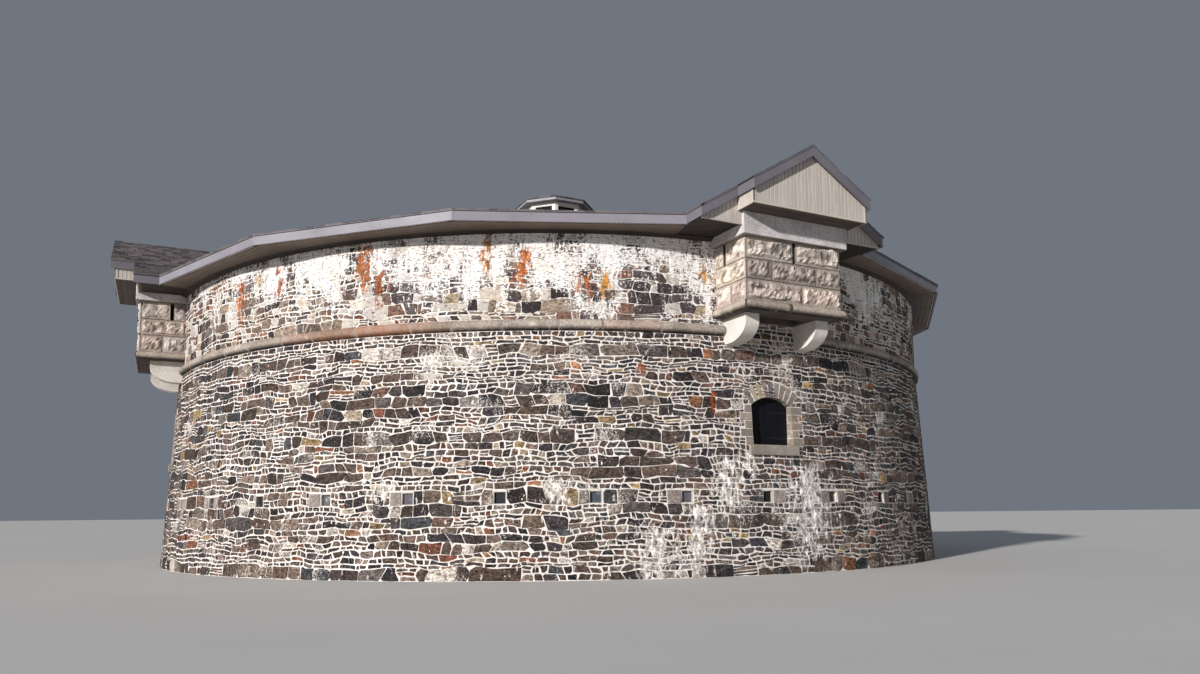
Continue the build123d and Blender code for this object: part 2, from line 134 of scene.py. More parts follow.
class Look:
    """A procedural material under construction, in metres of object space."""

    def __init__(self, name, roughness, specular=0.3, metallic=0.0):
        self.material = bpy.data.materials.new(name)
        self.material.use_nodes = True
        self.tree = self.material.node_tree
        self.shader = self.tree.nodes["Principled BSDF"]
        settings = {"Roughness": roughness, "Specular IOR Level": specular, "Metallic": metallic}
        for key, value in settings.items():
            self.shader.inputs[key].default_value = value
        self.place = self.node("ShaderNodeTexCoord").outputs["Object"]
        parts = self.node("ShaderNodeSeparateXYZ", {0: self.place}).outputs
        self.height = parts["Z"]
        self.turn = self.math("ARCTAN2", parts["X"], self.math("MULTIPLY", parts["Y"], -1))
        self.along = self.math("MULTIPLY", self.turn, base_radius)

    def node(self, kind, inputs=None, **settings):
        """New node with its settings, and its inputs linked or set."""
        made = self.tree.nodes.new(kind)
        for name, value in settings.items():
            setattr(made, name, value)
        for key, value in (inputs or {}).items():
            if isinstance(value, bpy.types.NodeSocket):
                self.tree.links.new(value, made.inputs[key])
            else:
                made.inputs[key].default_value = colour(value) if isinstance(value, str) else value
        return made

    def math(self, operation, first, second=0.0):
        return self.node("ShaderNodeMath", {0: first, 1: second}, operation=operation).outputs[0]

    def total(self, first, *others):
        for other in others:
            first = self.math("ADD", first, other)
        return first

    def stretch(self, along, depth, up):
        """Coordinates with another scale each way."""
        inputs = {0: self.place, 1: (along, depth, up)}
        return self.node("ShaderNodeVectorMath", inputs, operation="MULTIPLY").outputs[0]

    def noise(self, scale, detail=4.0, roughness=0.55, place=None):
        inputs = {"Vector": place or self.place, "Scale": scale, "Detail": detail, "Roughness": roughness}
        return self.node("ShaderNodeTexNoise", inputs).outputs["Fac"]

    def remap(self, value, from_low, from_high, low=0.0, high=1.0):
        """Value moved from one range to another, and held inside it."""
        inputs = {0: value, 1: from_low, 2: from_high, 3: low, 4: high}
        return self.node("ShaderNodeMapRange", inputs).outputs[0]

    def ramp(self, value, *stops, steps=False):
        """Colour ramp through (position, "#rrggbb") stops, in steps or blended."""
        made = self.node("ShaderNodeValToRGB", {0: value})
        made.color_ramp.interpolation = "CONSTANT" if steps else "LINEAR"
        for extra in range(len(stops) - 2):
            made.color_ramp.elements.new(0.5)
        for element, (position, tone) in zip(made.color_ramp.elements, stops):
            element.position = position
            element.color = colour(tone)
        return made.outputs["Color"]

    def mix(self, factor, first, second, blend="MIX"):
        """Two colours mixed by a factor."""
        inputs = {0: factor, 6: first, 7: second}
        return self.node("ShaderNodeMix", inputs, data_type="RGBA", blend_type=blend).outputs[2]

    def shade(self, tone, factor):
        """A colour made darker or lighter by a factor that varies."""
        grey = self.node("ShaderNodeCombineColor", {0: factor, 1: factor, 2: factor}).outputs[0]
        return self.mix(1.0, tone, grey, "MULTIPLY")

    def vary(self, tone, field, from_low, from_high, low, high):
        """A colour made darker or lighter as a field goes from one value to another."""
        return self.shade(tone, self.remap(field, from_low, from_high, low, high))

    def dab(self, tone, paint, field, start, full, most):
        """A colour with paint over it, none at one value of a field and most at another."""
        return self.mix(self.remap(field, start, full, 0, most), tone, paint)

    def tint(self):
        """The three numbers that each small piece carries."""
        carried = self.node("ShaderNodeVertexColor", layer_name="tint").outputs["Color"]
        return self.node("ShaderNodeSeparateColor", {0: carried}).outputs[:3]

    def stained(self, tone):
        """Tone with the wall's rust and lime stains on it, each a ragged run down the wall."""
        mottle = self.remap(self.noise(13, 6, 0.75, self.stretch(1, 1, 0.5)), 0.4, 0.6, 0.35, 1.55)
        unrolled = self.node("ShaderNodeCombineXYZ", {0: self.along, 2: self.height}).outputs[0]
        middle = self.total(self.along, self.remap(self.noise(1.5, place=unrolled), 0, 1, -0.2, 0.2))
        ragged = self.remap(self.noise(11, 5, 0.62, self.stretch(1, 1, 0.45)), 0.32, 0.68, -0.45, 0.45)
        for turn, top, bottom, width, stain in STAINS:
            away = self.math("ABSOLUTE", self.math("SUBTRACT", middle, math.radians(turn) * base_radius))
            head = self.remap(self.height, top + 0.1, top - 0.1)
            foot = self.remap(self.height, bottom - 0.1, (top + bottom) / 2)
            body = self.math("MULTIPLY", self.remap(away, 0, width * 0.75, 0.72, 0), head)
            body = self.total(self.math("MULTIPLY", body, foot), ragged)
            tone = self.mix(self.remap(body, 0.36, 0.64, 0, 0.92), tone, self.shade(stain, mottle))
        return tone

    def bump(self, height, distance):
        normal = self.shader.inputs["Normal"]
        made = self.node("ShaderNodeBump", {"Height": height, "Distance": distance, "Strength": 1.0})
        if normal.is_linked:
            self.tree.links.new(normal.links[0].from_socket, made.inputs["Normal"])
        self.tree.links.new(made.outputs[0], normal)

    def wear(self, value, low, high):
        """Roughness that varies over the surface."""
        self.tree.links.new(self.remap(value, 0.3, 0.7, low, high), self.shader.inputs["Roughness"])

    def done(self, tone):
        self.tree.links.new(tone, self.shader.inputs["Base Color"])
        return self.material


def colour(tone):
    """Linear colour of an #rrggbb tone."""
    parts = [int(tone[i:i + 2], 16) / 255 for i in (1, 3, 5)]
    return [part / 12.92 if part <= 0.04045 else ((part + 0.055) / 1.055) ** 2.4 for part in parts] + [1]


# Stains on the round wall: turn, top, bottom, width, tone
STAINS = (
    (-64, 6.4, 4.95, 0.5, "#b45f18"),
    (-57, 6.5, 5.5, 0.36, "#a5551c"),
    (-45, 6.7, 5.3, 0.5, "#a35a20"),
    (-43, 6.1, 5.2, 0.5, "#904a1c"),
    (-31, 6.6, 5.7, 0.32, "#b06c20"),
    (-27.5, 6.4, 5.5, 0.42, "#b46018"),
    (-21, 5.9, 5.2, 0.45, "#a85418"),
    (-19, 5.95, 5.2, 0.3, "#c4882c"),
    (-7.7, 6.1, 5.75, 0.3, "#c4822a"),
    (-7.4, 3.6, 2.9, 0.24, "#9a430c"),
    (-15, 4.15, 3.9, 0.4, "#8a4a24"),
    (-6, 2.4, 0.8, 0.75, "#efe8e1"),
    (-9.5, 1.4, -0.3, 0.7, "#efe8e1"),
    (4.5, 2.2, -0.4, 1.3, "#e9e4e0"),
    (-14, 1.0, -0.7, 1.1, "#e2dad3"),
    (-3.3, 2.5, 1.8, 0.4, "#efe8e1"),
    (-24, 1.9, 1.2, 0.7, "#efe6dd"),
    (-42, 1.9, 1.4, 0.6, "#efe6dd"),
    (-37, 4.4, 3.9, 0.7, "#efe6dd"),
)
RUBBLE_TONES = (
    (0.0, "#4b3f3a"), (0.1, "#68574c"), (0.2, "#363134"), (0.3, "#5b4b43"), (0.4, "#76655a"),
    (0.48, "#484241"), (0.56, "#2d2829"), (0.64, "#635a56"), (0.71, "#534339"), (0.78, "#87796e"),
    (0.83, "#414246"), (0.87, "#634b41"), (0.9, "#9c8c78"), (0.92, "#744836"), (0.942, "#9a6a4a"),
    (0.956, "#a58a60"), (0.972, "#b4aaa1"),
)
PARAPET_TONES = (
    (0.0, "#64554d"), (0.15, "#4a4142"), (0.3, "#7d6e63"), (0.42, "#423a3a"), (0.54, "#8a7a6c"),
    (0.66, "#5e5553"), (0.76, "#75594c"), (0.84, "#373132"), (0.93, "#704433"), (0.96, "#a1907a"),
)
QUOIN_TONES = (
    (0.0, "#857b75"), (0.25, "#a79a8f"), (0.45, "#7e7773"), (0.6, "#b2a595"), (0.75, "#93857b"),
    (0.9, "#bba98b"), (1.0, "#96908b"),
)
BOX_TONES = ((0.0, "#ada099"), (0.35, "#cfbdb1"), (0.6, "#cac1bd"), (0.85, "#d6c4ad"), (1.0, "#cfc3b7"))
STRING_TONES = ((0.0, "#94877b"), (0.4, "#ab9f93"), (0.9, "#b8aba0"), (1.0, "#b29a8d"))
SLAB_TONES = ((0.0, "#b3a596"), (0.6, "#c2b4a6"), (1.0, "#b09c88"))
BLOCK_TONES = ((0.0, "#8d817a"), (0.5, "#b3a49b"), (1.0, "#7d7470"))
SLATE_TONES = ((0.0, "#25272b"), (0.5, "#3a3d43"), (0.8, "#5a616d"), (1.0, "#6d6466"))
STRING_RUST_TURN = -44


def rubble_look():
    look = Look("rubble", 0.86)
    pick, shade, lime = look.tint()
    grain = look.noise(13, 8, 0.78, look.stretch(1, 1, 2.0))
    speck = look.noise(24, 5, 0.8, look.stretch(1, 1, 1.6))
    tone = look.ramp(pick, *RUBBLE_TONES, steps=True)
    tone = look.vary(tone, grain, 0.41, 0.59, 0.25, 1.85)
    tone = look.vary(tone, look.noise(6, 4, 0.6), 0.38, 0.62, 0.7, 1.3)
    tone = look.vary(tone, shade, 0, 1, 0.46, 1.24)
    tone = look.dab(tone, "#231f1e", speck, 0.4, 0.34, 0.65)
    tone = look.dab(tone, "#d6cdc4", speck, 0.59, 0.67, 0.65)
    fine = look.remap(look.noise(28, 5, 0.75), 0.3, 0.7, -0.2, 0.2)
    patch = look.total(look.noise(1.1, 4, 0.6), look.remap(lime, 0, 1, -0.1, 0.12), fine)
    tone = look.dab(tone, "#e4dad0", patch, 0.66, 0.76, 0.85)
    look.bump(grain, 0.03)
    look.bump(look.noise(90, 3, 0.7), 0.004)
    look.wear(grain, 0.95, 0.75)
    return look.done(look.stained(tone))


def mortar_look():
    look = Look("lime_mortar", 0.92, 0.2)
    grain = look.noise(40, 5, 0.7)
    pits = look.noise(11, 3, 0.6, look.stretch(1, 1, 2.2))
    tone = look.ramp(look.noise(1.3, 4), (0.3, "#efe9e4"), (0.5, "#e3dbd4"), (0.7, "#f8f4f1"))
    tone = look.vary(tone, grain, 0.3, 0.7, 0.86, 1.12)
    tone = look.dab(tone, "#6b5c52", pits, 0.62, 0.7, 0.7)
    look.bump(grain, 0.006)
    look.bump(look.remap(pits, 0.6, 0.7, 1, 0), 0.012)
    return look.done(look.stained(tone))


def limewash(look, tone, threshold):
    """Thick white lime over a tone, thinner low down and by turn, with runs and dark pits."""
    drips = look.noise(1.0, 4, 0.65, look.stretch(11, 11, 1.8))
    fine = look.noise(24, 5, 0.75)
    patch = look.total(
        look.noise(1.0, 4, 0.6, look.stretch(1.6, 1.6, 0.9)),
        look.remap(look.height, 4.98, 6.1, -0.22, 0.015),
        look.remap(look.turn, -1.3, -0.85, -0.09, 0.02),
        look.remap(look.turn, -0.5, -0.2, 0, 0.06),
        look.remap(look.turn, 0.1, 0.5, 0, -0.15),
        look.remap(drips, 0.35, 0.65, -0.07, 0.07),
        look.remap(fine, 0.35, 0.65, -0.13, 0.13),
    )
    white = look.ramp(look.noise(0.9, 4), (0.35, "#f9f7f5"), (0.6, "#f5f0eb"), (0.72, "#f1e9dc"))
    white = look.vary(white, drips, 0.3, 0.62, 0.88, 1.03)
    white = look.vary(white, fine, 0.35, 0.65, 0.86, 1.05)
    tone = look.dab(tone, white, patch, threshold, threshold + 0.08, 1)
    pits = look.noise(12, 4, 0.62, look.stretch(1, 1, 3.4))
    return look.dab(tone, "#4f4540", pits, 0.59, 0.63, 0.85), pits


def limewashed_rubble_look():
    look = Look("limewashed_rubble", 0.88, 0.2)
    pick, shade, lime = look.tint()
    grain = look.noise(13, 8, 0.78, look.stretch(1, 1, 2.0))
    tone = look.ramp(pick, *PARAPET_TONES, steps=True)
    tone = look.vary(tone, grain, 0.41, 0.59, 0.45, 1.7)
    tone = look.vary(tone, shade, 0, 1, 0.75, 1.3)
    tone = look.mix(look.remap(lime, 0.14, 0.24, 0.6, 0), tone, "#e9e1d8")
    tone, pits = limewash(look, tone, 0.475)
    look.bump(grain, 0.01)
    look.bump(look.remap(pits, 0.62, 0.7, 1, 0), 0.012)
    return look.done(look.stained(tone))


def limewashed_mortar_look():
    look = Look("limewashed_mortar", 0.92, 0.2)
    grain = look.noise(35, 5, 0.7)
    tone, pits = limewash(look, look.ramp(grain, (0.3, "#cdbfb1"), (0.7, "#f1e9df")), 0.33)
    look.bump(grain, 0.008)
    look.bump(look.remap(pits, 0.6, 0.7, 1, 0), 0.015)
    return look.done(look.stained(tone))


def dressed_look(name, tones, depth=0.006, speckle=0.35, foot=None, rough=False, rust=None):
    """Worked stone that varies from block to block and is rusty at a turn, with a painted shadow just above a
    foot, and painted shade in the hollows and painted highlight on the tops of a rough face.
    """
    look = Look(name, 0.82, 0.25)
    pick, shade, relief = look.tint()
    grain = look.noise(30, 6, 0.78)
    tone = look.vary(look.ramp(pick, *tones), grain, 0.38, 0.62, 1 - speckle, 1 + speckle * 0.5)
    tone = look.vary(tone, look.noise(2.5, 5), 0.35, 0.65, 0.8, 1.12)
    tone = look.vary(tone, shade, 0, 1, 0.88, 1.12)
    # Painted shadow: the tone falls to 0.12 at the foot and comes back by 0.085 above it, as under a roll.
    if foot is not None:
        tone = look.vary(tone, look.height, foot + 0.02, foot + 0.085, 0.12, 1)
    # Painted shade and highlight: darker in the hollows and lighter on the tops of a rough face, by the
    # height each point carries.
    if rough:
        tone = look.vary(tone, relief, 0.15, 0.85, 0.3, 1.6)
    tone = look.dab(tone, "#e6dccd", look.noise(5, 5, 0.65), 0.6, 0.72, 0.5)
    if rust is not None:
        away = look.math("ABSOLUTE", look.math("SUBTRACT", look.turn, math.radians(rust)))
        patchy = look.remap(look.noise(3, 5, 0.65), 0.35, 0.55, 0.45, 1)
        tone = look.mix(look.math("MULTIPLY", look.remap(away, 0.02, 0.2, 0.62, 0), patchy), tone, "#a2643f")
    look.bump(grain, depth)
    look.bump(look.noise(9, 4), depth * 2)
    return look.done(tone)


def plain_stone_look(name, pale, dark, speckle=0.2):
    """Dressed stone of a solid that stays from the frame."""
    look = Look(name, 0.85, 0.25)
    grain = look.noise(60, 5, 0.75)
    tone = look.ramp(look.noise(1.7, 5, 0.6), (0.32, dark), (0.62, pale))
    tone = look.vary(tone, grain, 0.3, 0.7, 1 - speckle, 1 + speckle * 0.5)
    look.bump(grain, 0.004)
    look.bump(look.noise(8, 4), 0.008)
    return look.done(tone)


def board_look(name, pale, dark, roughness, upright=True):
    """Painted or stained boards: each one differs a little, with grain along it."""
    look = Look(name, roughness, 0.3)
    grain = look.noise(1.0, 5, 0.65, look.stretch(*((30, 30, 2.5) if upright else (3, 3, 30))))
    tone = look.vary(look.ramp(look.tint()[0], (0.0, dark), (1.0, pale)), grain, 0.3, 0.7, 0.92, 1.06)
    tone = look.vary(tone, look.noise(1.4, 4), 0.3, 0.7, 0.94, 1.05)
    look.bump(grain, 0.003)
    look.wear(grain, roughness + 0.08, roughness - 0.08)
    return look.done(tone)


def metal_look(name, pale, dark):
    """Folded and painted sheet metal with faint waves and water marks."""
    look = Look(name, 0.5, 0.3)
    runs = look.noise(1.0, 4, 0.6, look.stretch(2.2, 2.2, 9))
    tone = look.vary(look.ramp(look.noise(0.7, 3), (0.35, dark), (0.65, pale)), runs, 0.3, 0.7, 0.93, 1.05)
    look.bump(look.noise(1.6, 2), 0.006)
    look.wear(runs, 0.55, 0.46)
    return look.done(tone)


def shingle_look():
    look = Look("shingles", 0.93, 0.15)
    pick, _, lit = look.tint()
    granules = look.noise(260, 2, 0.8)
    tone = look.ramp(pick, (0.0, "#504a4c"), (0.35, "#6f6868"), (0.7, "#857b7a"), (1.0, "#625e62"))
    # Painted shadow: darker towards the top of each tab, under the next row's butt, and darkest on the butt
    # faces and on the untinted deck between tabs.
    tone = look.vary(tone, lit, 0, 1, 0.3, 1.1)
    tone = look.vary(tone, granules, 0.3, 0.7, 0.75, 1.25)
    tone = look.vary(tone, look.noise(0.6, 4), 0.3, 0.7, 0.9, 1.08)
    look.bump(granules, 0.002)
    return look.done(tone)


def dark_wood_look():
    look = Look("shutter_paint", 0.6, 0.2)
    grain = look.noise(1.0, 5, 0.65, look.stretch(35, 35, 2))
    tone = look.ramp(grain, (0.3, "#090a10"), (0.7, "#11121b"))
    tone = look.dab(tone, "#2b2d38", look.noise(12, 5), 0.64, 0.75, 0.25)
    look.bump(grain, 0.003)
    look.wear(grain, 0.7, 0.5)
    return look.done(tone)


def iron_look():
    look = Look("iron", 0.65, 0.35, 0.3)
    spots = look.noise(40, 5, 0.7)
    look.bump(spots, 0.002)
    return look.done(look.ramp(spots, (0.4, "#18181b"), (0.6, "#262220"), (0.78, "#4a3023")))


def glass_look():
    look = Look("pane_glass", 0.6, 0.08)
    look.bump(look.noise(2, 2), 0.004)
    return look.done(look.ramp(look.noise(3, 3), (0.3, "#0e1114"), (0.7, "#181d22")))


rubble = rubble_look()
mortar = mortar_look()
limewashed_rubble = limewashed_rubble_look()
limewashed_mortar = limewashed_mortar_look()
quoin_stone = dressed_look("quoin_stone", QUOIN_TONES)
# Box stone carries painted shade in the hollows and painted highlight on the tops of its rock faces.
box_stone = dressed_look("box_stone", BOX_TONES, 0.012, 0.45, rough=True)
# String and slab rolls carry a painted shadow along their undersides.
string_stone = dressed_look(
    "string_stone", STRING_TONES, speckle=0.5, foot=string_bottom, rust=STRING_RUST_TURN)
slab_stone = dressed_look("slab_stone", SLAB_TONES, speckle=0.5, foot=slab_low.z)
cap_stone = dressed_look("cap_stone", ((0.0, "#c8c2c2"), (1.0, "#d6d1d0")), 0.004, 0.3)
pale_stone = dressed_look("pale_stone", ((0.0, "#c3bab0"), (1.0, "#d6cdc4")))
block_stone = dressed_look("block_stone", BLOCK_TONES, 0.01, 0.6)
plate_slate = dressed_look("plate_slate", SLATE_TONES)
joint_stone = plain_stone_look("joint_stone", "#6f655e", "#4f4741", 0.4)
bed_stone = plain_stone_look("bed_stone", "#ab9f95", "#7f746c", 0.45)
corbel_stone = plain_stone_look("corbel_stone", "#f2ece4", "#d3ccc2", 0.35)
shaded_stone = plain_stone_look("shaded_stone", "#6a615a", "#4a433e", 0.4)
floor_stone = plain_stone_look("floor_stone", "#8f8881", "#6f6963")
siding_paint = board_look("siding_paint", "#c7beb6", "#bcb3aa", 0.6)
groove_paint = board_look("groove_paint", "#6f665d", "#665d55", 0.7)
trim_paint = board_look("trim_paint", "#cbc2b6", "#c2b8ac", 0.55, upright=False)
# Soffit boards: their dark end is painted shade, taken by the rows nearest the wall and by the gables'
# soffits.
soffit_boards = board_look("soffit_boards", "#7b6d61", "#3a322c", 0.65, upright=False)
# Dark trim: a dark closing trim whose near-black brown also stands in for painted shade under the eaves.
dark_trim = board_look("dark_trim", "#332c28", "#2a2421", 0.6, upright=False)
white_paint = board_look("white_paint", "#eeebe4", "#dedad2", 0.5)
fascia_metal = metal_look("fascia_metal", "#928e97", "#87838a")
dormer_metal = metal_look("dormer_metal", "#76737b", "#6b686f")
shingles = shingle_look()
shutter_paint = dark_wood_look()
iron = iron_look()
glass = glass_look()


# Surfaces that small pieces are laid on. flip is true where u, v and w are left-handed.

Surface = namedtuple("Surface", ("place", "flip"))


def directions(turn):
    """Unit vectors out of the tower and to the right along it, at a turn."""
    angle = math.radians(turn)
    return Vector((math.sin(angle), -math.cos(angle), 0)), Vector((math.cos(angle), math.sin(angle), 0))


def turned(turn, spot, flip=False):
    """Surface at a turn. spot gives how far out, how far to the right and how high a point lies."""
    out, side = directions(turn)

    def place(u, v, w):
        reach, across, height = spot(u, v, w)
        return out * reach + side * across + Vector((0, 0, height))
    return Surface(place, flip)


def wall_radius(height):
    return base_radius - BATTER * min(height, string_top)


def round_surface(scale, radius_at):
    """Round wall whose u is an arc at a scale radius, and whose radius goes by height."""
    def place(u, v, w):
        radius = radius_at(v) + w
        return (radius * math.sin(u / scale), -radius * math.cos(u / scale), v)
    return Surface(place, False)


round_wall = round_surface(base_radius, wall_radius)
parapet_ring = round_surface(parapet_radius, lambda height: parapet_radius)


def facade(turn):
    """The round wall round one side's centre line, with u across that side."""
    return turned(turn, lambda u, v, w: (math.sqrt(wall_radius(v) ** 2 - u * u) + w, u, v))


def flat_face(turn, radius):
    """Upright face across a turn, at a distance from the axis."""
    return turned(turn, lambda u, v, w: (radius + w, u, v))


def flank(turn, offset, hand):
    """Upright face along a turn: u runs out from the axis. hand is 1 on the right and -1 on the left."""
    return turned(turn, lambda u, v, w: (u, hand * (offset + w), v), hand > 0)


def underside(turn, height):
    """Level face seen from below: u across a turn, v out from the axis, w downward."""
    return turned(turn, lambda u, v, w: (v, u, height - w), True)


def roof_facet(turn, apothem, eave, slope):
    """Slope that falls outward at a turn: v runs up it from the eave."""
    run = 1 / math.hypot(1, slope)
    rise = slope * run
    return turned(turn, lambda u, v, w: (apothem - v * run + w * rise, u, eave + v * rise + w * run))


def dormer_facet(turn, hand, half):
    """Slope of a dormer: u runs out from the axis, v up from the eave at a half width."""
    run = 1 / math.hypot(1, DORMER_SLOPE)
    rise = DORMER_SLOPE * run
    eave = slope_height(half)
    return turned(
        turn, lambda u, v, w: (u, hand * (half - v * run + w * rise), eave + v * rise + w * run), hand > 0)


def slope_height(offset):
    """Height of a dormer's roof at an offset from its centre line."""
    return ridge_top - DORMER_SLOPE * abs(offset)


def random_tint(rng):
    return (rng.random(), rng.random(), rng.random())


class Pile:
    """Collects many small pieces and makes one object of them, tinted by its random numbers."""

    def __init__(self, rng):
        self.rng = rng
        self.points, self.faces, self.tints = [], [], []

    def add(self, surface, points, faces, tint=None):
        """Points in the surface's u, v and w, with faces by their numbers. tint is one for all or a list."""
        start = len(self.points)
        self.points += [surface.place(*point) for point in points]
        for face in faces:
            numbers = [start + number for number in face]
            self.faces.append(numbers[::-1] if surface.flip else numbers)
        self.tints += tint if isinstance(tint, list) else [tint or random_tint(self.rng)] * len(points)

    def stack(self, surface, rings, tint=None, hub=None):
        """Rings of points joined by walls, the last one closed by a face or by a fan to a hub."""
        count = len(rings[0])
        points = [point for ring in rings for point in ring]
        last = len(points) - count
        pairs = [(number, (number + 1) % count) for number in range(count)]
        faces = [
            (low + a, low + b, low + count + b, low + count + a)
            for low in range(0, last, count) for a, b in pairs
        ]
        if hub is None:
            faces.append(range(last, last + count))
        else:
            points.append(hub)
            faces += [(last + a, last + b, last + count) for a, b in pairs]
        self.add(surface, points, faces, tint)

    def block(self, surface, outline, back, front, edge, tint=None):
        """Prism over an outline, with a chamfered front."""
        rings = [level(outline, back), level(outline, front - edge), level(inset(outline, edge), front)]
        self.stack(surface, rings, tint)

    def bar(self, surface, left, right, low, high, front, edge, back=0.0):
        """Block over a rectangle."""
        self.block(surface, rectangle(left, right, low, high), back, front, edge)

    def make(self, name, material, slot, smooth=False):
        mesh = bpy.data.meshes.new(name)
        mesh.from_pydata([tuple(point) for point in self.points], [], self.faces)
        shades = mesh.color_attributes.new("tint", "FLOAT_COLOR", "POINT")
        shades.data.foreach_set("color", [part for tint in self.tints for part in (*tint, 1.0)])
        mesh.polygons.foreach_set("use_smooth", [smooth] * len(mesh.polygons))
        mesh.materials.append(material)
        made = bpy.data.objects.new(name, mesh)
        bpy.context.scene.collection.objects.link(made)
        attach(made, "root")


def piles(seed, count):
    """Empty piles that share one seeded source of random numbers."""
    rng = random.Random(seed)
    return [Pile(rng) for number in range(count)]


def grid(rows, columns, turned_over=False):
    """Faces of a net of points that are given row by row."""
    corners = (0, columns, columns + 1, 1) if turned_over else (0, 1, columns + 1, columns)
    starts = [row * columns + column for row in range(rows - 1) for column in range(columns - 1)]
    return [[start + corner for corner in corners] for start in starts]


def level(outline, w):
    return [(u, v, w) for u, v in outline]


def rectangle(left, right, low, high):
    left, right = sorted((left, right))
    return [(left, low), (right, low), (right, high), (left, high)]


def middle(outline):
    count = len(outline)
    return sum(u for u, v in outline) / count, sum(v for u, v in outline) / count


def inset(outline, edge):
    """Outline drawn in toward its middle by an edge."""
    centre_u, centre_v = middle(outline)
    drawn = []
    for u, v in outline:
        away = math.hypot(u - centre_u, v - centre_v)
        keep = max(0.2, 1 - edge * 1.3 / max(away, 1e-6))
        drawn.append((centre_u + (u - centre_u) * keep, centre_v + (v - centre_v) * keep))
    return drawn


def spans(left, right, joints):
    """Ends of the parts that joints cut a stretch into."""
    edges = [left, *joints, right]
    return list(zip(edges, edges[1:]))


def shares(start, stop, count):
    """Ends of equal parts of a stretch."""
    return spans(start, stop, [start + (stop - start) * number / count for number in range(1, count)])


# Random rubble

COURSE_HEIGHTS = (0.08, 0.11, 0.13, 0.15, 0.17, 0.19, 0.21, 0.25)
JOINT = 0.014
LEAST_STONE = 0.035
LEAST_AREA = 0.0012
CLEARANCE = 0.25
BURIED = -0.01
# A corner's cut: the most across, and its shares of the stone's width and height
KNOCKED_CORNER = (0.08, (0.08, 0.3), (0.12, 0.36))
SOUND_CORNER = (0.02, (0.02, 0.06), (0.03, 0.1))
KNOCKED_SHARE = 0.26
LEAST_SPLIT = 0.14
STACK_SHARE = 0.12
SHOULDER_AREA = 0.028
DOME_AREA = 0.055
WALL_LIFT = 0.011
PARAPET_LIFT = 0.009
LEVEL_ZONE = 0.2


def split_course(rng, height):
    """Heights one stretch of a course is split at: half stay whole, and some get a thin strip."""
    if height < LEAST_SPLIT:
        return [(0, height)]
    draw = rng.random()
    thin = rng.uniform(0.05, 0.08)
    if draw < 0.5:
        return [(0, height)]
    if draw < 0.61:
        return spans(0, height, [thin])
    return spans(0, height, [height - thin if draw < 0.72 else height * rng.uniform(0.42, 0.58)])


def fill_lane(cells, rng, left, right, low, high):
    """Stones side by side along one stretch, some of them stacks of thin ones."""
    height = high - low
    while right - left > 1e-6:
        if height < 0.1:
            width = rng.uniform(0.1, 0.36)
        elif rng.random() < 0.1:
            width = height * rng.uniform(2.4, 3.6)
        else:
            width = height * rng.uniform(0.8, 2.4)
        if right - left - width < 0.1:
            width = right - left
        edge = left + width
        if height > 0.12 and width < 0.6 and rng.random() < STACK_SHARE:
            for bottom, top in shares(low, high, max(2, round(height / rng.uniform(0.06, 0.1)))):
                cut = left + width * rng.uniform(0.35, 0.65)
                cuts = [cut] if width > 0.3 and rng.random() < 0.5 else []
                cells.extend((a, b, bottom, top) for a, b in spans(left, edge, cuts))
        else:
            cells.append((left, edge, low, high))
        left = edge


def rubble_cells(rng, bottom, top):
    """Cells of random rubble brought to rough courses, right round the wall."""
    cells = []
    low = bottom
    while top - low > 0.02:
        height = rng.choice(COURSE_HEIGHTS) * rng.uniform(0.9, 1.1)
        if top - low - height < 0.06:
            height = top - low
        left = rng.uniform(0, 1)
        end = left + full_round
        while end - left > 1e-6:
            lane = rng.uniform(0.8, 2.8)
            if end - left - lane < 0.4:
                lane = end - left
            for start, stop in split_course(rng, height):
                fill_lane(cells, rng, left, left + lane, low + start, low + stop)
            left += lane
        low += height
    return cells


def meets(cell, hole, room=0.0):
    """Whether a cell comes within some room of a hole. Both are left, right, low and high."""
    beside = hole[0] - room < cell[1] and hole[1] + room > cell[0]
    return beside and hole[2] - room < cell[3] and hole[3] + room > cell[2]


def without(cell, hole):
    """What is left of a cell round a rectangular hole."""
    if not meets(cell, hole):
        return [cell]
    left, right, low, high = cell
    hole_left, hole_right, hole_low, hole_high = hole
    from_left, to_right = max(left, hole_left), min(right, hole_right)
    parts = [
        (left, hole_left, low, high), (hole_right, right, low, high),
        (from_left, to_right, low, hole_low), (from_left, to_right, hole_high, high),
    ]
    return [part for part in parts if min(part[1] - part[0], part[3] - part[2]) > LEAST_STONE]


def cut_outline(outline, point, normal):
    """The part of an outline that lies on the normal's side of a line."""
    kept = []
    sides = [(u - point[0]) * normal[0] + (v - point[1]) * normal[1] for u, v in outline]
    for number, (u, v) in enumerate(outline):
        following = (number + 1) % len(outline)
        if sides[number] >= 0:
            kept.append((u, v))
        if sides[number] * sides[following] < 0:
            share = sides[number] / (sides[number] - sides[following])
            next_u, next_v = outline[following]
            kept.append((u + (next_u - u) * share, v + (next_v - v) * share))
    return kept


def area(outline):
    following = outline[1:] + outline[:1]
    return sum(u * next_v - next_u * v for (u, v), (next_u, next_v) in zip(outline, following)) / 2


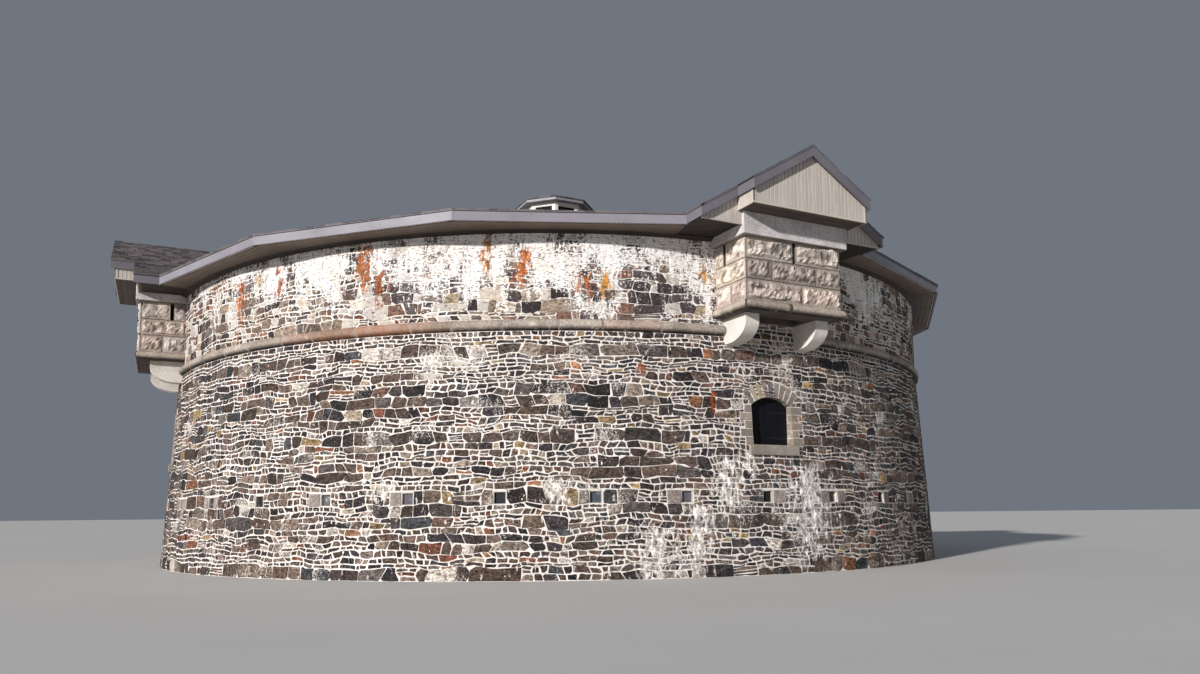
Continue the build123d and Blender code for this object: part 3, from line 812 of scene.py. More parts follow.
def stone_outline(rng, cell):
    """Ten-sided outline of a stone in its cell, some of its corners knocked well off."""
    left, right, low, high = cell
    joint = JOINT / 2
    left += joint * rng.uniform(0.7, 1.3)
    right -= joint * rng.uniform(0.7, 1.3)
    low += joint * rng.uniform(0.7, 1.2)
    high -= joint * rng.uniform(0.7, 1.2)
    width, height = right - left, high - low
    across, up = [], []
    for corner in range(4):
        most, widths, heights = KNOCKED_CORNER if rng.random() < KNOCKED_SHARE else SOUND_CORNER
        across.append(min(most, width * rng.uniform(*widths)))
        up.append(height * rng.uniform(*heights))
    sag = min(0.006, height * 0.05)
    half = (left + right) / 2 + rng.uniform(-0.12, 0.12) * width
    return [
        (left + across[0], low), (half, low + rng.uniform(-sag, sag)), (right - across[1], low),
        (right, low + up[1]), (right, high - up[2]),
        (right - across[2], high), (half, high + rng.uniform(-sag, sag)),
        (left + across[3], high), (left, high - up[3]), (left, low + up[0]),
    ]


def drift(x, y, v, across, up, shift):
    """Smooth noise between about -1 and 1 over the wall."""
    return noise.noise(Vector((x * across, y * across, v * up + shift)))


def wandered(point, holes, bottom, top):
    """A point of the joints' net moved about with its neighbours, and not at all beside an opening."""
    u, v = point
    away = [math.hypot(max(a - u, 0, u - b), max(c - v, 0, v - d)) for a, b, c, d in holes]
    fade = min([1.0] + [distance / CLEARANCE for distance in away])
    x, y, _ = round_wall.place(u, v, 0)
    aside = 0.1 * drift(x, y, v, 2.4, 5.0, 0) + 0.055 * drift(x, y, v, 5.5, 8.0, 80)
    rise = 0.09 * drift(x, y, v, 1.3, 2.6, 40) + 0.045 * drift(x, y, v, 4.5, 7.0, 120)
    level_fade = max(0, min(1, (v - bottom) / LEVEL_ZONE, (top - v) / LEVEL_ZONE))
    return u + aside * fade, max(bottom, v + rise * fade * level_fade)


def lay_stone(pile, outline, lift):
    """Stone with a rounded rim and an uneven face."""
    rng = pile.rng
    size = area(outline)
    centre_u, centre_v = middle(outline)
    rings = [level(outline, -0.012)]
    if size > SHOULDER_AREA:
        rings.append(level(outline, lift * 0.45))
    rim = inset(outline, min(0.014, math.sqrt(size) * 0.1))
    rings.append([(u, v, lift * rng.uniform(0.8, 1.15)) for u, v in rim])
    if size > DOME_AREA:
        half_way = [(centre_u + (u - centre_u) * 0.5, centre_v + (v - centre_v) * 0.5) for u, v in outline]
        rings.append([(u, v, lift * rng.uniform(0.7, 1.7)) for u, v in half_way])
    pile.stack(round_wall, rings, hub=(centre_u, centre_v, lift * rng.uniform(1.0, 1.6)))


def hole_at(turn, left, right, low, high):
    """Hole given across a turn's centre line, as arc lengths."""
    centre = math.radians(turn % 360) * base_radius
    scale = base_radius / wall_radius((low + high) / 2)
    left, right = sorted((left, right))
    return (centre + left * scale, centre + right * scale, low, high)


def lay_rubble(seed, bottom, top, holes, openings, lift, count, offset=0.0):
    """Stones all round between two heights, clear of holes and openings, in piles by turn.

    An offset of 0.5 centres the first pile on turn 0. Without one it starts there.
    """
    segments = piles(seed, count)
    rng = segments[0].rng
    holes = holes + [(left + full_round, right + full_round, low, high) for left, right, low, high in holes]
    for cell in rubble_cells(rng, bottom, top):
        near = [hole for hole in holes if meets(cell, hole, CLEARANCE)]
        parts = [cell]
        for hole in near:
            parts = [part for piece in parts for part in without(piece, hole)]
        for part in parts:
            outline = [wandered(point, near, bottom, top) for point in stone_outline(rng, part)]
            for opening in openings:
                outline = opening.clear(outline)
            if len(outline) >= 3 and area(outline) >= LEAST_AREA:
                number = int(outline[0][0] / full_round * count + offset) % count
                lay_stone(segments[number], outline, lift * rng.uniform(0.6, 1.3))
    return segments


# Openings of the round wall

PROUD = 0.014
JAMB_HEIGHT = 0.18
JAMB_WIDTHS = (0.18, 0.29)
VOUSSOIRS = 9
REVEAL_LAP = 0.004
BED_PROUD = 0.007
BED_SHIFT = 0.002
PALE_BLOCK_SHARE = 0.36


class Opening:
    """Opening under a segmental arch, with its jamb stones, its ring of voussoirs and its sill."""

    def __init__(self, turn, width, sill, spring, crown, depth, reveal):
        rise = crown - spring
        self.turn, self.half, self.sill, self.spring, self.crown = turn, width / 2, sill, spring, crown
        self.depth, self.reveal = depth, reveal
        self.middle = math.radians(turn % 360) * base_radius
        self.radius = (width * width / 4 + rise * rise) / (2 * rise)
        self.centre = crown - self.radius
        self.spread = math.asin(width / 2 / self.radius)
        self.outer = self.radius + depth
        self.jambs = shares(sill, spring, round((spring - sill) / JAMB_HEIGHT))

    def holes(self):
        """Rectangles of the opening, its jamb stones and its sill, for the rubble to stay clear of."""
        holes = [hole_at(self.turn, -self.half, self.half, self.sill, self.crown)]
        for number, (low, high) in enumerate(self.jambs):
            left, right = (self.half + JAMB_WIDTHS[(number + step) % 2] for step in (0, 1))
            holes.append(hole_at(self.turn, -left, right, low, high))
        reach = self.half + SILL_OVERHANG
        return holes + [hole_at(self.turn, -reach, reach, self.sill - SILL_HEIGHT, self.sill)]

    def clear(self, outline):
        """The largest part of a stone's outline that stays clear of the ring."""
        us = [u - self.middle for u, v in outline]
        vs = [v for u, v in outline]
        half = self.outer * math.sin(self.spread)
        if not outline or min(us) > half or max(us) < -half:
            return outline
        if min(vs) > self.centre + self.outer or max(vs) < self.spring:
            return outline
        gap = JOINT * 0.8
        centre_u, centre_v = middle(outline)
        angle = math.atan2(centre_u - self.middle, centre_v - self.centre)
        angle = max(-self.spread, min(self.spread, angle))
        normal = (math.sin(angle), math.cos(angle))
        reach = self.outer + gap
        lines = [((self.middle + normal[0] * reach, self.centre + normal[1] * reach), normal)]
        for hand in HANDS:
            along = (hand * math.sin(self.spread), math.cos(self.spread))
            aside = (hand * along[1], -hand * along[0])
            foot = (
                self.middle + along[0] * self.radius + aside[0] * gap,
                self.centre + along[1] * self.radius + aside[1] * gap,
            )
            lines.append((foot, aside))
        return max((cut_outline(outline, point, normal) for point, normal in lines), key=area)

    def ring(self, start, stop, inner, outer, count):
        """Outline of part of a ring round the arch's centre, from one angle to another."""
        outline = []
        for radius, first, last in ((inner, start, stop), (outer, stop, start)):
            for number in range(count + 1):
                angle = first + (last - first) * number / count
                outline.append((radius * math.sin(angle), self.centre + radius * math.cos(angle)))
        return outline

    def dress(self, pile, beds):
        """Jamb stones and voussoirs, returned into the reveal, on their mortar."""
        rng = pile.rng
        surface = facade(self.turn)
        joint = JOINT / 2
        stones = shares(-self.spread, self.spread, VOUSSOIRS)
        for start, stop in stones:
            bed = self.ring(start, stop, self.radius + BED_SHIFT, self.outer, 2)
            beds.stack(surface, [level(bed, BURIED), level(bed, BED_PROUD)])
        for number, (low, high) in enumerate(self.jambs):
            for hand in HANDS:
                outer = self.half + JAMB_WIDTHS[(number + (hand > 0)) % 2]
                inner = self.half - REVEAL_LAP
                stone = rectangle(hand * inner, hand * (outer - joint), low + joint * 0.8, high - joint * 0.8)
                pile.block(surface, stone, -self.reveal, PROUD * rng.uniform(0.8, 1.3), 0.008)
                bed = rectangle(hand * (self.half + BED_SHIFT), hand * (outer + joint), low, high)
                beds.stack(surface, [level(bed, BURIED), level(bed, BED_PROUD)])
        gap = JOINT * 1.9 / self.radius / 2
        for start, stop in stones:
            outer = self.radius + self.depth * rng.uniform(0.92, 0.98)
            stone = self.ring(start + gap, stop - gap, self.radius - REVEAL_LAP, outer, 1)
            pile.block(surface, stone, -self.reveal, PROUD * rng.uniform(0.8, 1.2), 0.006)


windows = {
    name: Opening(
        SIDES[name], WINDOW_WIDTH, window_sill, WINDOW_SPRING, window_crown, WINDOW_ARCH, SHUTTER_DEPTH)
    for name in WINDOW_SIDES
}
door = Opening(180, door_width, door_low.z, DOOR_SPRING, door_high.z, DOOR_ARCH, DOOR_DEPTH)
openings = [*windows.values(), door]
vent_turns = [VENT_START + number * 360 / VENT_COUNT for number in range(VENT_COUNT)]
vent_top = VENT_BOTTOM + VENT_SIZE
block_rng = random.Random(29)
vent_blocks = []
for turn in vent_turns:
    for hand in HANDS:
        if block_rng.random() < PALE_BLOCK_SHARE:
            far = VENT_SIZE / 2 + block_rng.uniform(0.18, 0.34)
            vent_blocks.append((turn, *sorted((hand * VENT_SIZE / 2, hand * far))))

corbel_inner, corbel_bottom = CORBEL_OUTER - CORBEL_WIDTH, slab_low.z - CORBEL_HEIGHT
corbel_holes = [
    hole_at(turn, hand * corbel_inner, hand * CORBEL_OUTER, corbel_bottom, slab_low.z)
    for turn in SIDES.values() for hand in HANDS
]
wall_holes = [hole for opening in openings for hole in opening.holes()]
for turn, left, right in [(turn, -VENT_SIZE / 2, VENT_SIZE / 2) for turn in vent_turns] + vent_blocks:
    wall_holes.append(hole_at(turn, left, right, VENT_BOTTOM, vent_top))
gap_holes = list(corbel_holes)
parapet_holes = list(corbel_holes)
corbel_arc = CORBEL_OUTER * base_radius / parapet_radius
for turn in SIDES.values():
    start = math.radians(turn) * base_radius + corbel_arc
    gap_holes.append((start, start + full_round / 4 - 2 * corbel_arc, string_bottom, string_top))
    for half, low, high in (
            (slab_half, slab_low.z, slab_high.z), (box_half, slab_high.z, box_high.z),
            (cap_half, box_high.z, cap_high.z)):
        parapet_holes.append(hole_at(turn, -half, half, low, high))

wall_piles = lay_rubble(
    11, 0.0, string_bottom, wall_holes + corbel_holes, openings, WALL_LIFT, WALL_SEGMENTS, offset=0.5)
for number, pile in enumerate(wall_piles):
    pile.make(f"wall_stones_{number + 1}", rubble, "rubble_stone")
gap_pile, = lay_rubble(37, string_bottom, string_top, gap_holes, [], WALL_LIFT, 1)
gap_pile.make("corbel_gap_stones", rubble, "rubble_stone")
parapet_piles = lay_rubble(
    23, string_top, parapet_top - 0.02, parapet_holes, [], PARAPET_LIFT, len(QUARTERS))
for name, pile in zip(QUARTERS, parapet_piles):
    pile.make(f"parapet_stones_{name}", limewashed_rubble, "rubble_stone")

window_dressings, door_dressings, beds = piles(5, 3)
for opening in openings:
    opening.dress(door_dressings if opening is door else window_dressings, beds)
window_dressings.make("window_dressings", quoin_stone, "dressed_stone")
door_dressings.make("door_dressings", quoin_stone, "dressed_stone")
beds.make("opening_mortar", mortar, "rubble_stone")


# Vents: a plate in a thin frame in each, and a pale block beside some of them

PLATE_DEPTH = 0.05
FRAME_WIDTH = 0.018


def make_vents():
    plates, frames, blocks = piles(31, 3)
    half = VENT_SIZE / 2
    inner_bottom, inner_top = VENT_BOTTOM + FRAME_WIDTH, vent_top - FRAME_WIDTH
    bars = [(-half, half, VENT_BOTTOM, inner_bottom), (-half, half, inner_top, vent_top)]
    bars += [(hand * (half - FRAME_WIDTH), hand * half, inner_bottom, inner_top) for hand in HANDS]
    for turn in vent_turns:
        face = flat_face(turn, wall_radius(vent_top) - PLATE_DEPTH)
        plates.bar(face, -half, half, VENT_BOTTOM, vent_top, 0, 0.002, BURIED)
        for bar in bars:
            frames.bar(face, *bar, PLATE_DEPTH, 0.003)
    for turn, left, right in vent_blocks:
        left, right = left + JOINT / 2, right - JOINT / 2
        blocks.bar(facade(turn), left, right, VENT_BOTTOM, vent_top, PROUD, 0.01, BURIED)
    plates.make("vent_plates", plate_slate, "dressed_stone")
    frames.make("vent_frames", pale_stone, "pale_stone")
    blocks.make("vent_blocks", block_stone, "pale_stone")


make_vents()


# Half-round mouldings

ROLL_ARC = 10
ROLL_JOINT = 0.004
ROLL_PINCH = 0.008
STRING_STEPS = 8
SLAB_STEPS = 6


def roll(pile, surface, start, stop, height, radius, steps, mitres=(False, False)):
    """Length of half-round moulding. A mitred end follows the roll round a corner."""
    rings = [0, 0.25, *range(1, steps), steps - 0.25, steps]
    points = []
    for ring in rings:
        reach = radius - (ROLL_PINCH if ring in (0, steps) else 0.0)
        for number in range(ROLL_ARC + 1):
            angle = math.pi * (number / ROLL_ARC - 0.5)
            w = reach * math.cos(angle)
            left = start - (w if mitres[0] else 0)
            right = stop + (w if mitres[1] else 0)
            points.append((left + (right - left) * ring / steps, height + reach * math.sin(angle), w))
    faces = grid(len(rings), ROLL_ARC + 1, turned_over=True)
    faces.append(range(ROLL_ARC + 1))
    faces.append(range(len(points) - 1, len(points) - ROLL_ARC - 2, -1))
    pile.add(surface, points, faces)


def make_string_course():
    pile, = piles(41, 1)
    clear = math.asin(CORBEL_OUTER / parapet_radius) * parapet_radius + ROLL_JOINT
    height = (string_bottom + string_top) / 2
    for turn in SIDES.values():
        start = math.radians(turn) * parapet_radius + clear
        stop = math.radians(turn + 90) * parapet_radius - clear
        while stop - start > 0.01:
            length = pile.rng.uniform(0.8, 1.25)
            if stop - start - length < 0.5:
                length = stop - start
            radius = string_roll + pile.rng.uniform(0.001, 0.005)
            left, right = start + ROLL_JOINT, start + length - ROLL_JOINT
            roll(pile, parapet_ring, left, right, height, radius, STRING_STEPS)
            start += length
    pile.make("string_stones", string_stone, "dressed_stone", True)


make_string_course()


# Machicolation stones

BOX_COURSES = spans(slab_high.z, box_high.z, [slab_high.z + 0.42, slab_high.z + 0.82])
COURSE_PICKS = (0.4, 0.12, 0.62)
FRONT_JOINTS = ((0.17,), (-0.57, 0.53), ())
FLANK_JOINTS = ((0.45,), (), ())
CAP_JOINTS = (-0.53, 0.57)
CAP_FLANK_JOINT = 0.5
ROCK_RELIEF = 0.065
FLANK_RELIEF = 0.05
SLOT_RELIEF = 0.03
SLOT_DRAFT = 0.02
CAP_PROUD = 0.008
WALL_LAP = 0.02
ROCK_NET = 0.052
CORNER_LAP = 0.004


def net_lines(start, stop, draft, least):
    """Net lines over a block: its edge twice, the draft, and the rough face between the drafts."""
    start, stop = start + JOINT / 2, stop - JOINT / 2
    count = max(least, round((stop - start - 2 * draft) / ROCK_NET))
    face = [start + draft + (stop - start - 2 * draft) * number / count for number in range(1, count)]
    return [start, start, start + draft, *face, stop - draft, stop, stop]


def rock_face(pile, surface, left, right, low, high, relief, tint, draft=0.035):
    """Block with smooth drafted margins and a rough raised face, whose rows wander as they go."""
    rng = pile.rng
    us, vs = net_lines(left, right, draft, 4), net_lines(low, high, draft, 3)
    points, tints = [], []
    for row, v in enumerate(vs):
        for column, u in enumerate(us):
            from_rim = min(column, len(us) - 1 - column, row, len(vs) - 1 - row)
            w = 0.01 if from_rim else BURIED
            height = (0.0, 0.35, 0.5)[min(from_rim, 2)]
            if from_rim > 2:
                bulge = noise.noise(Vector((u * 6 + tint[0] * 50, v * 8, tint[1] * 50)))
                height = max(0.1, min(1, 0.55 + 0.6 * bulge + rng.uniform(-0.32, 0.32)))
                w += relief * height
                u += rng.uniform(-0.014, 0.014)
                v += rng.uniform(-0.014, 0.014)
            points.append((u, v, w))
            # Each point carries its height, so the material can paint shade in the hollows and highlight on
            # the tops.
            tints.append((tint[0], tint[1], height))
    pile.add(surface, points, grid(len(vs), len(us)), tints)


def wall_line(half):
    """How far out the parapet's face stands at a half width, less a lap."""
    return math.sqrt(parapet_radius ** 2 - half ** 2) - WALL_LAP


# A pale block gets painted light: half the time the cream tone, and always the brightest shade number.
def block_tint(rng, course, pale=False):
    pick = 0.85 if pale and rng.random() < 0.5 else COURSE_PICKS[course]
    return (pick + rng.uniform(-0.14, 0.14), 1.0 if pale else rng.random() * 0.6, 0.5)


def lay_box_blocks(pile, turn):
    rng = pile.rng
    front = flat_face(turn, box_front)
    corner, reach, start = box_half + CORNER_LAP, box_front + CORNER_LAP, wall_line(box_half)
    slot = parapet_radius + SIDE_LOOPHOLE_OFFSET
    for course, (low, high) in enumerate(BOX_COURSES):
        top_course = course == len(BOX_COURSES) - 1
        parts = spans(-corner, corner, FRONT_JOINTS[course])
        if top_course:
            parts = [(-corner, -LOOPHOLE_WIDTH / 2), (LOOPHOLE_WIDTH / 2, corner)]
        for left, right in parts:
            rock_face(pile, front, left, right, low, high, ROCK_RELIEF, block_tint(rng, course))
        for hand in HANDS:
            side = flank(turn, box_half, hand)
            # Painted light: every left flank is made paler, like a face lit from the left.
            pale = hand < 0
            if top_course:
                tint = block_tint(rng, course, pale)
                rock_face(pile, side, start, slot, low, high, SLOT_RELIEF, tint, SLOT_DRAFT)
                outer, tint = slot + LOOPHOLE_WIDTH, block_tint(rng, course, pale)
                rock_face(pile, side, outer, reach, low, high, SLOT_RELIEF, tint)
                continue
            joints = [parapet_radius + joint for joint in FLANK_JOINTS[course]]
            for left, right in spans(start, reach, joints):
                rock_face(pile, side, left, right, low, high, FLANK_RELIEF, block_tint(rng, course, pale))


def lay_caps(pile, turn):
    corner, reach = cap_half + CORNER_LAP, cap_front + CORNER_LAP
    faces = [(flat_face(turn, cap_front), spans(-corner, corner, CAP_JOINTS))]
    flank_spans = spans(wall_line(box_half), reach, [parapet_radius + CAP_FLANK_JOINT])
    faces += [(flank(turn, cap_half, hand), flank_spans) for hand in HANDS]
    for face, parts in faces:
        for left, right in parts:
            left, right, proud = left + 0.004, right - 0.004, CAP_PROUD * pile.rng.uniform(0.85, 1.1)
            pile.bar(face, left, right, box_high.z + 0.003, cap_high.z - 0.003, proud, 0.004, BURIED)


def lay_slab_rolls(pile, turn):
    height = (slab_low.z + slab_high.z) / 2
    radius = slab_roll + 0.004
    half, outer = slab_half - slab_roll, slab_front - slab_roll
    joint = pile.rng.uniform(-0.4, 0.4)
    face = flat_face(turn, outer)
    roll(pile, face, -half, joint - ROLL_JOINT, height, radius, SLAB_STEPS, (True, False))
    roll(pile, face, joint + ROLL_JOINT, half, height, radius, SLAB_STEPS, (False, True))
    for hand in HANDS:
        side = flank(turn, half, hand)
        roll(pile, side, wall_line(slab_half), outer, height, radius, SLAB_STEPS, (False, True))


for name, turn in SIDES.items():
    blocks, caps, slabs = piles(50 + turn, 3)
    lay_box_blocks(blocks, turn)
    lay_caps(caps, turn)
    lay_slab_rolls(slabs, turn)
    blocks.make(f"machicolation_blocks_{name}", box_stone, "dressed_stone")
    caps.make(f"cap_blocks_{name}", cap_stone, "pale_stone")
    slabs.make(f"slab_rolls_{name}", slab_stone, "dressed_stone", True)


# Shutters and door

STRAP_HALF = 0.022
STRAP_TAPER = 0.08
PLATE_RADIUS = 0.03
PULL_RADIUS = 0.045
PULL_WIRE = 0.006
PULL_STEPS = 16
PULL_SIDES = 6
PLANK_GAP = 0.003


def planks(pile, surface, opening, count, front):
    """Upright planks that fill an opening, with gaps between them."""
    half = opening.half - 0.005
    for start, stop in shares(-half, half, count):
        left, right = start + PLANK_GAP, stop - PLANK_GAP
        outline = [(left, opening.sill), (right, opening.sill)]
        for u in (right, (left + right) / 2, left):
            outline.append((u, opening.centre + math.sqrt(opening.radius ** 2 - u * u) - 0.002))
        pile.block(surface, outline, 0, front * pile.rng.uniform(0.9, 1.1), 0.004)


def strap(pile, surface, left, right, height, thick, back):
    """Iron strap hinge with a tapered end."""
    shoulder, narrow = left + STRAP_TAPER, STRAP_HALF * 0.7
    outline = [
        (shoulder, height - narrow), (left, height), (shoulder, height + narrow),
        (right, height + STRAP_HALF), (right, height - STRAP_HALF),
    ]
    pile.block(surface, outline, back, back + thick, 0.002)


def angles(count):
    return [2 * math.pi * number / count for number in range(count)]


def ring_pull(pile, surface, centre_u, centre_v, back):
    """Small iron ring on a plate."""
    rng = random.Random(3)
    plate = [
        (centre_u + PLATE_RADIUS * math.cos(around), centre_v + PLATE_RADIUS * math.sin(around))
        for around in angles(PULL_STEPS)
    ]
    pile.block(surface, plate, back, back + PULL_WIRE, 0.002, random_tint(rng))
    points, faces = [], []
    for step, around in enumerate(angles(PULL_STEPS)):
        low, high = step * PULL_SIDES, (step + 1) % PULL_STEPS * PULL_SIDES
        for side, about in enumerate(angles(PULL_SIDES)):
            reach = PULL_RADIUS + PULL_WIRE * math.cos(about)
            u, v = centre_u + reach * math.sin(around), centre_v - PULL_RADIUS + reach * math.cos(around)
            points.append((u, v, back + 0.014 + PULL_WIRE * math.sin(about)))
            following = (side + 1) % PULL_SIDES
            faces.append((low + side, low + following, high + following, high + side))
    pile.add(surface, points, faces, random_tint(rng))


def make_shutters():
    boards, irons = piles(61, 2)
    for opening in windows.values():
        face = flat_face(opening.turn, shutter_face)
        planks(boards, face, opening, 7, 0.018)
        for height in (window_sill + 0.16, WINDOW_SPRING - 0.12):
            strap(irons, face, -0.05, WINDOW_WIDTH / 2 - 0.03, height, 0.006, 0.018)
        ring_pull(irons, face, -0.3, window_sill + 0.36, 0.018)
    boards.make("shutter_planks", shutter_paint, "shutter_wood")
    irons.make("shutter_irons", iron, "fascia_metal")


def make_door():
    boards, irons = piles(67, 2)
    face = flat_face(door.turn, door_high.y)
    planks(boards, face, door, 8, 0.02)
    for height in (door.sill + 0.3, door.sill + 1.0, DOOR_SPRING - 0.15):
        strap(irons, face, -0.25, door_width / 2 - 0.04, height, 0.007, 0.02)
    ring_pull(irons, face, -0.4, door.sill + 1.0, 0.02)
    boards.make("door_planks", shutter_paint, "shutter_wood")
    irons.make("door_irons", iron, "fascia_metal")


make_shutters()
make_door()


# Gable boards

BOARD = 0.092
BOARD_THICK = 0.014
BOARD_GAP = 0.004
FOOT_GAP = 0.012
POST_PROUD = 0.022
RAIL_PROUD = 0.024
BOARD_EDGES = ((0.004, 0.003), (-0.004, 0.003), (-0.004, -0.003), (0.004, -0.003))


def under_slope(offset):
    return slope_height(offset) - ROOF_DECK


def siding(pile, surface, start, stop, low, top):
    """Narrow upright boards from a level foot up to a top that may slope."""
    start, stop = sorted((start, stop))
    for left, right in shares(start, stop, max(1, round((stop - start) / BOARD))):
        left, right = left + BOARD_GAP, right - BOARD_GAP
        outline = [(left, low), (right, low), (right, top(right)), (left, top(left))]
        if min(top(right), top(left)) - low < 0.02:
            continue
        ring = [(u + across, v + up) for (u, v), (across, up) in zip(outline, BOARD_EDGES)]
        front = BOARD_THICK * pile.rng.uniform(0.9, 1.1)
        pile.stack(surface, [level(outline, 0), level(outline, front - 0.004), level(ring, front)])


def lay_gable(boards, trims, turn):
    """Boards of the two gables and the cheeks between them, with their corner posts and rails."""
    front, wide = flat_face(turn, narrow_siding), flat_face(turn, wide_siding)
    foot = cap_high.z + FOOT_GAP
    wide_edge = dormer_half - SIDING_INSET
    cheek_top = under_slope(cheek_half)

    def post(face, left, right):
        trims.bar(face, left, right, cap_high.z, cheek_top, POST_PROUD, 0.004)

    def rail(face, left, right, height):
        trims.bar(face, left, right, height - 0.012, height + 0.014, RAIL_PROUD, 0.004)
    for hand in HANDS:
        siding(boards, front, 0, hand * cheek_half, foot, under_slope)
    for hand in HANDS:
        siding(boards, wide, hand * cap_half, hand * wide_edge, fascia_bottom + FOOT_GAP, under_slope)
        cheek = flank(turn, cheek_half, hand)
        siding(boards, cheek, wide_siding + 0.01, narrow_siding + 0.014, foot, lambda offset: cheek_top)
        post(cheek, narrow_siding - 0.05, narrow_siding + POST_PROUD)
        post(front, hand * (cheek_half - 0.035), hand * (cheek_half + POST_PROUD))
        rail(cheek, wide_siding, narrow_siding + 0.02, cap_high.z)
        rail(wide, hand * cap_half, hand * (wide_edge + 0.02), fascia_bottom)
    rail(front, -cheek_half - RAIL_PROUD, cheek_half + RAIL_PROUD, cap_high.z)


def lay_gable_soffit(pile, turn):
    rng = pile.rng
    for low, high in shares(cap_front, narrow_siding + 0.01, 4):
        # Painted shade: gable soffit boards take the darker half of the soffit colours.
        tint = (rng.uniform(0.1, 0.5), rng.random(), rng.random())
        board = rectangle(-cheek_half, cheek_half, low + PLANK_GAP, high - PLANK_GAP)
        pile.block(underside(turn, cap_high.z), board, 0, 0.01, 0.003, tint)


for name, turn in SIDES.items():
    boards, trims, soffit = piles(70 + turn, 3)
    lay_gable(boards, trims, turn)
    lay_gable_soffit(soffit, turn)
    boards.make(f"gable_boards_{name}", siding_paint, "siding_wood")
    trims.make(f"gable_trims_{name}", trim_paint, "siding_wood")
    soffit.make(f"gable_soffit_{name}", soffit_boards, "soffit_wood")


# Eaves

SOFFIT_ROWS = 6
FASCIA_DEPTH = 0.03
FASCIA_SEAMS = (-0.75, 0.7)
MOULD_STEPS = 60
MOULD_SECTION = ((0.0, 0.055), (0.03, 0.055), (0.05, 0.045), (0.06, 0.03), (0.12, 0.025), (0.14, 0.012))
fascia_back = eave_apothem - FASCIA_DEPTH


def lay_eaves_soffit(boards, vents, turn):
    """Boards under one side of the eaves, and a row of slots behind the fascia."""
    below = underside(turn, parapet_top)
    inner = parapet_radius * math.cos(HALF_FACET) - 0.05
    slant = math.tan(HALF_FACET)
    for row, (low, high) in enumerate(shares(inner, fascia_back - 0.06, SOFFIT_ROWS)):
        low, high = low + PLANK_GAP, high - PLANK_GAP
        outline = [(-low * slant, low), (low * slant, low), (high * slant, high), (-high * slant, high)]
        # Painted shade: the rows nearer the wall take the darker board colour.
        boards.block(below, outline, 0, 0.012, 0.003, (row / (SOFFIT_ROWS - 1), boards.rng.random(), 0))
    u = -fascia_half + 0.1
    while u < fascia_half - 0.1:
        end = u + vents.rng.uniform(0.03, 0.045)
        vents.bar(below, u, end, fascia_back - 0.045, fascia_back - 0.02, 0.008, 0.002)
        u += 0.075


def lay_fascia_trims(pile, turn):
    """Folded lips, two seams and the corner covers on one side of the fascia."""
    face = flat_face(turn, eave_apothem)
    wide = fascia_half + 0.004
    pile.bar(face, -wide, wide, eave_top - 0.022, eave_top + 0.003, 0.016, 0.003)
    wide = fascia_half + 0.002
    pile.bar(face, -wide, wide, fascia_bottom - 0.004, fascia_bottom + 0.014, 0.01, 0.003, -0.028)
    for seam in FASCIA_SEAMS:
        pile.bar(face, seam - 0.012, seam + 0.012, fascia_bottom + 0.012, eave_top - 0.02, 0.003, 0.001)
    for hand in HANDS:
        start, stop = hand * (fascia_half - 0.04), hand * (fascia_half + 0.001)
        pile.bar(face, start, stop, fascia_bottom, eave_top - 0.015, 0.004, 0.001)


def lay_mould(pile, turn):
    """Moulding along the top of one quarter of the parapet."""
    clear = math.asin(cap_half / parapet_radius)
    start, stop = math.radians(turn) + clear, math.radians(turn + 90) - clear
    points = []
    for step in range(MOULD_STEPS + 1):
        u = (start + (stop - start) * step / MOULD_STEPS) * parapet_radius
        points.extend((u, parapet_top - drop, out) for out, drop in MOULD_SECTION)
    pile.add(parapet_ring, points, grid(MOULD_STEPS + 1, len(MOULD_SECTION), turned_over=True))


boards, vents, metal, mould = piles(80, 4)
for turn in facet_turns:
    if turn % 90:
        lay_eaves_soffit(boards, vents, turn)
        lay_fascia_trims(metal, turn)
for turn in SIDES.values():
    lay_mould(mould, turn)
boards.make("eaves_boards", soffit_boards, "soffit_wood")
vents.make("eaves_vents", white_paint, "white_timber")
metal.make("fascia_trims", fascia_metal, "fascia_metal")
# The mould's dark colour is partly painted shade at the head of the wall.
mould.make("eaves_mould", dark_trim, "soffit_wood", True)


# Shingles

EXPOSURE = 0.13
TAB = 0.21
TAB_GAP = 0.005
EDGE_LAP = 0.009
CAP_LENGTH = 0.2
CAP_WIDTH = 0.11


def shingle_rows(pile, surface, length, ends):
    """Overlapping rows of shingles up a slope. ends gives a row's two ends at a distance up it."""
    rng = pile.rng
    for row in range(math.ceil(length / EXPOSURE)):
        low = row * EXPOSURE
        high = min(length, low + EXPOSURE * 1.1)
        left_low, right_low = ends(low)
        left_high, right_high = ends(high)
        if right_low - left_low < 0.02:
            continue
        start = left_low - rng.uniform(0.02, TAB)
        while start < right_low:
            tab = TAB * rng.uniform(0.8, 1.15)
            a, b = max(left_low, start + TAB_GAP), min(right_low, start + tab - TAB_GAP)
            start += tab
            if b - a < 0.015:
                continue
            c, d = min(max(b, left_high), right_high), max(min(a, right_high), left_high)
            lift = rng.uniform(0.011, 0.019)
            under = -0.004 if row else -0.03
            foot = low - (rng.uniform(0, 0.018) if row else 0.02)
            points = [(a, foot, lift), (b, foot, lift), (c, high, 0.003), (d, high, 0.003)]
            points += [(a, foot, under), (b, foot, under)]
            # Painted shadow: light is 1 at a tab's butt, 0.25 at its top under the next row, and 0 on the
            # underside points of its butt.
            pick = rng.random()
            tints = [(pick, 0.5, light) for light in (1.0, 1.0, 0.25, 0.25, 0.0, 0.0)]
            pile.add(surface, points, [(0, 1, 2, 3), (4, 5, 1, 0), (5, 2, 1), (4, 0, 3)], tints)


def cap_tint(rng):
    return (rng.random(), 0.5, rng.uniform(0.6, 0.9))


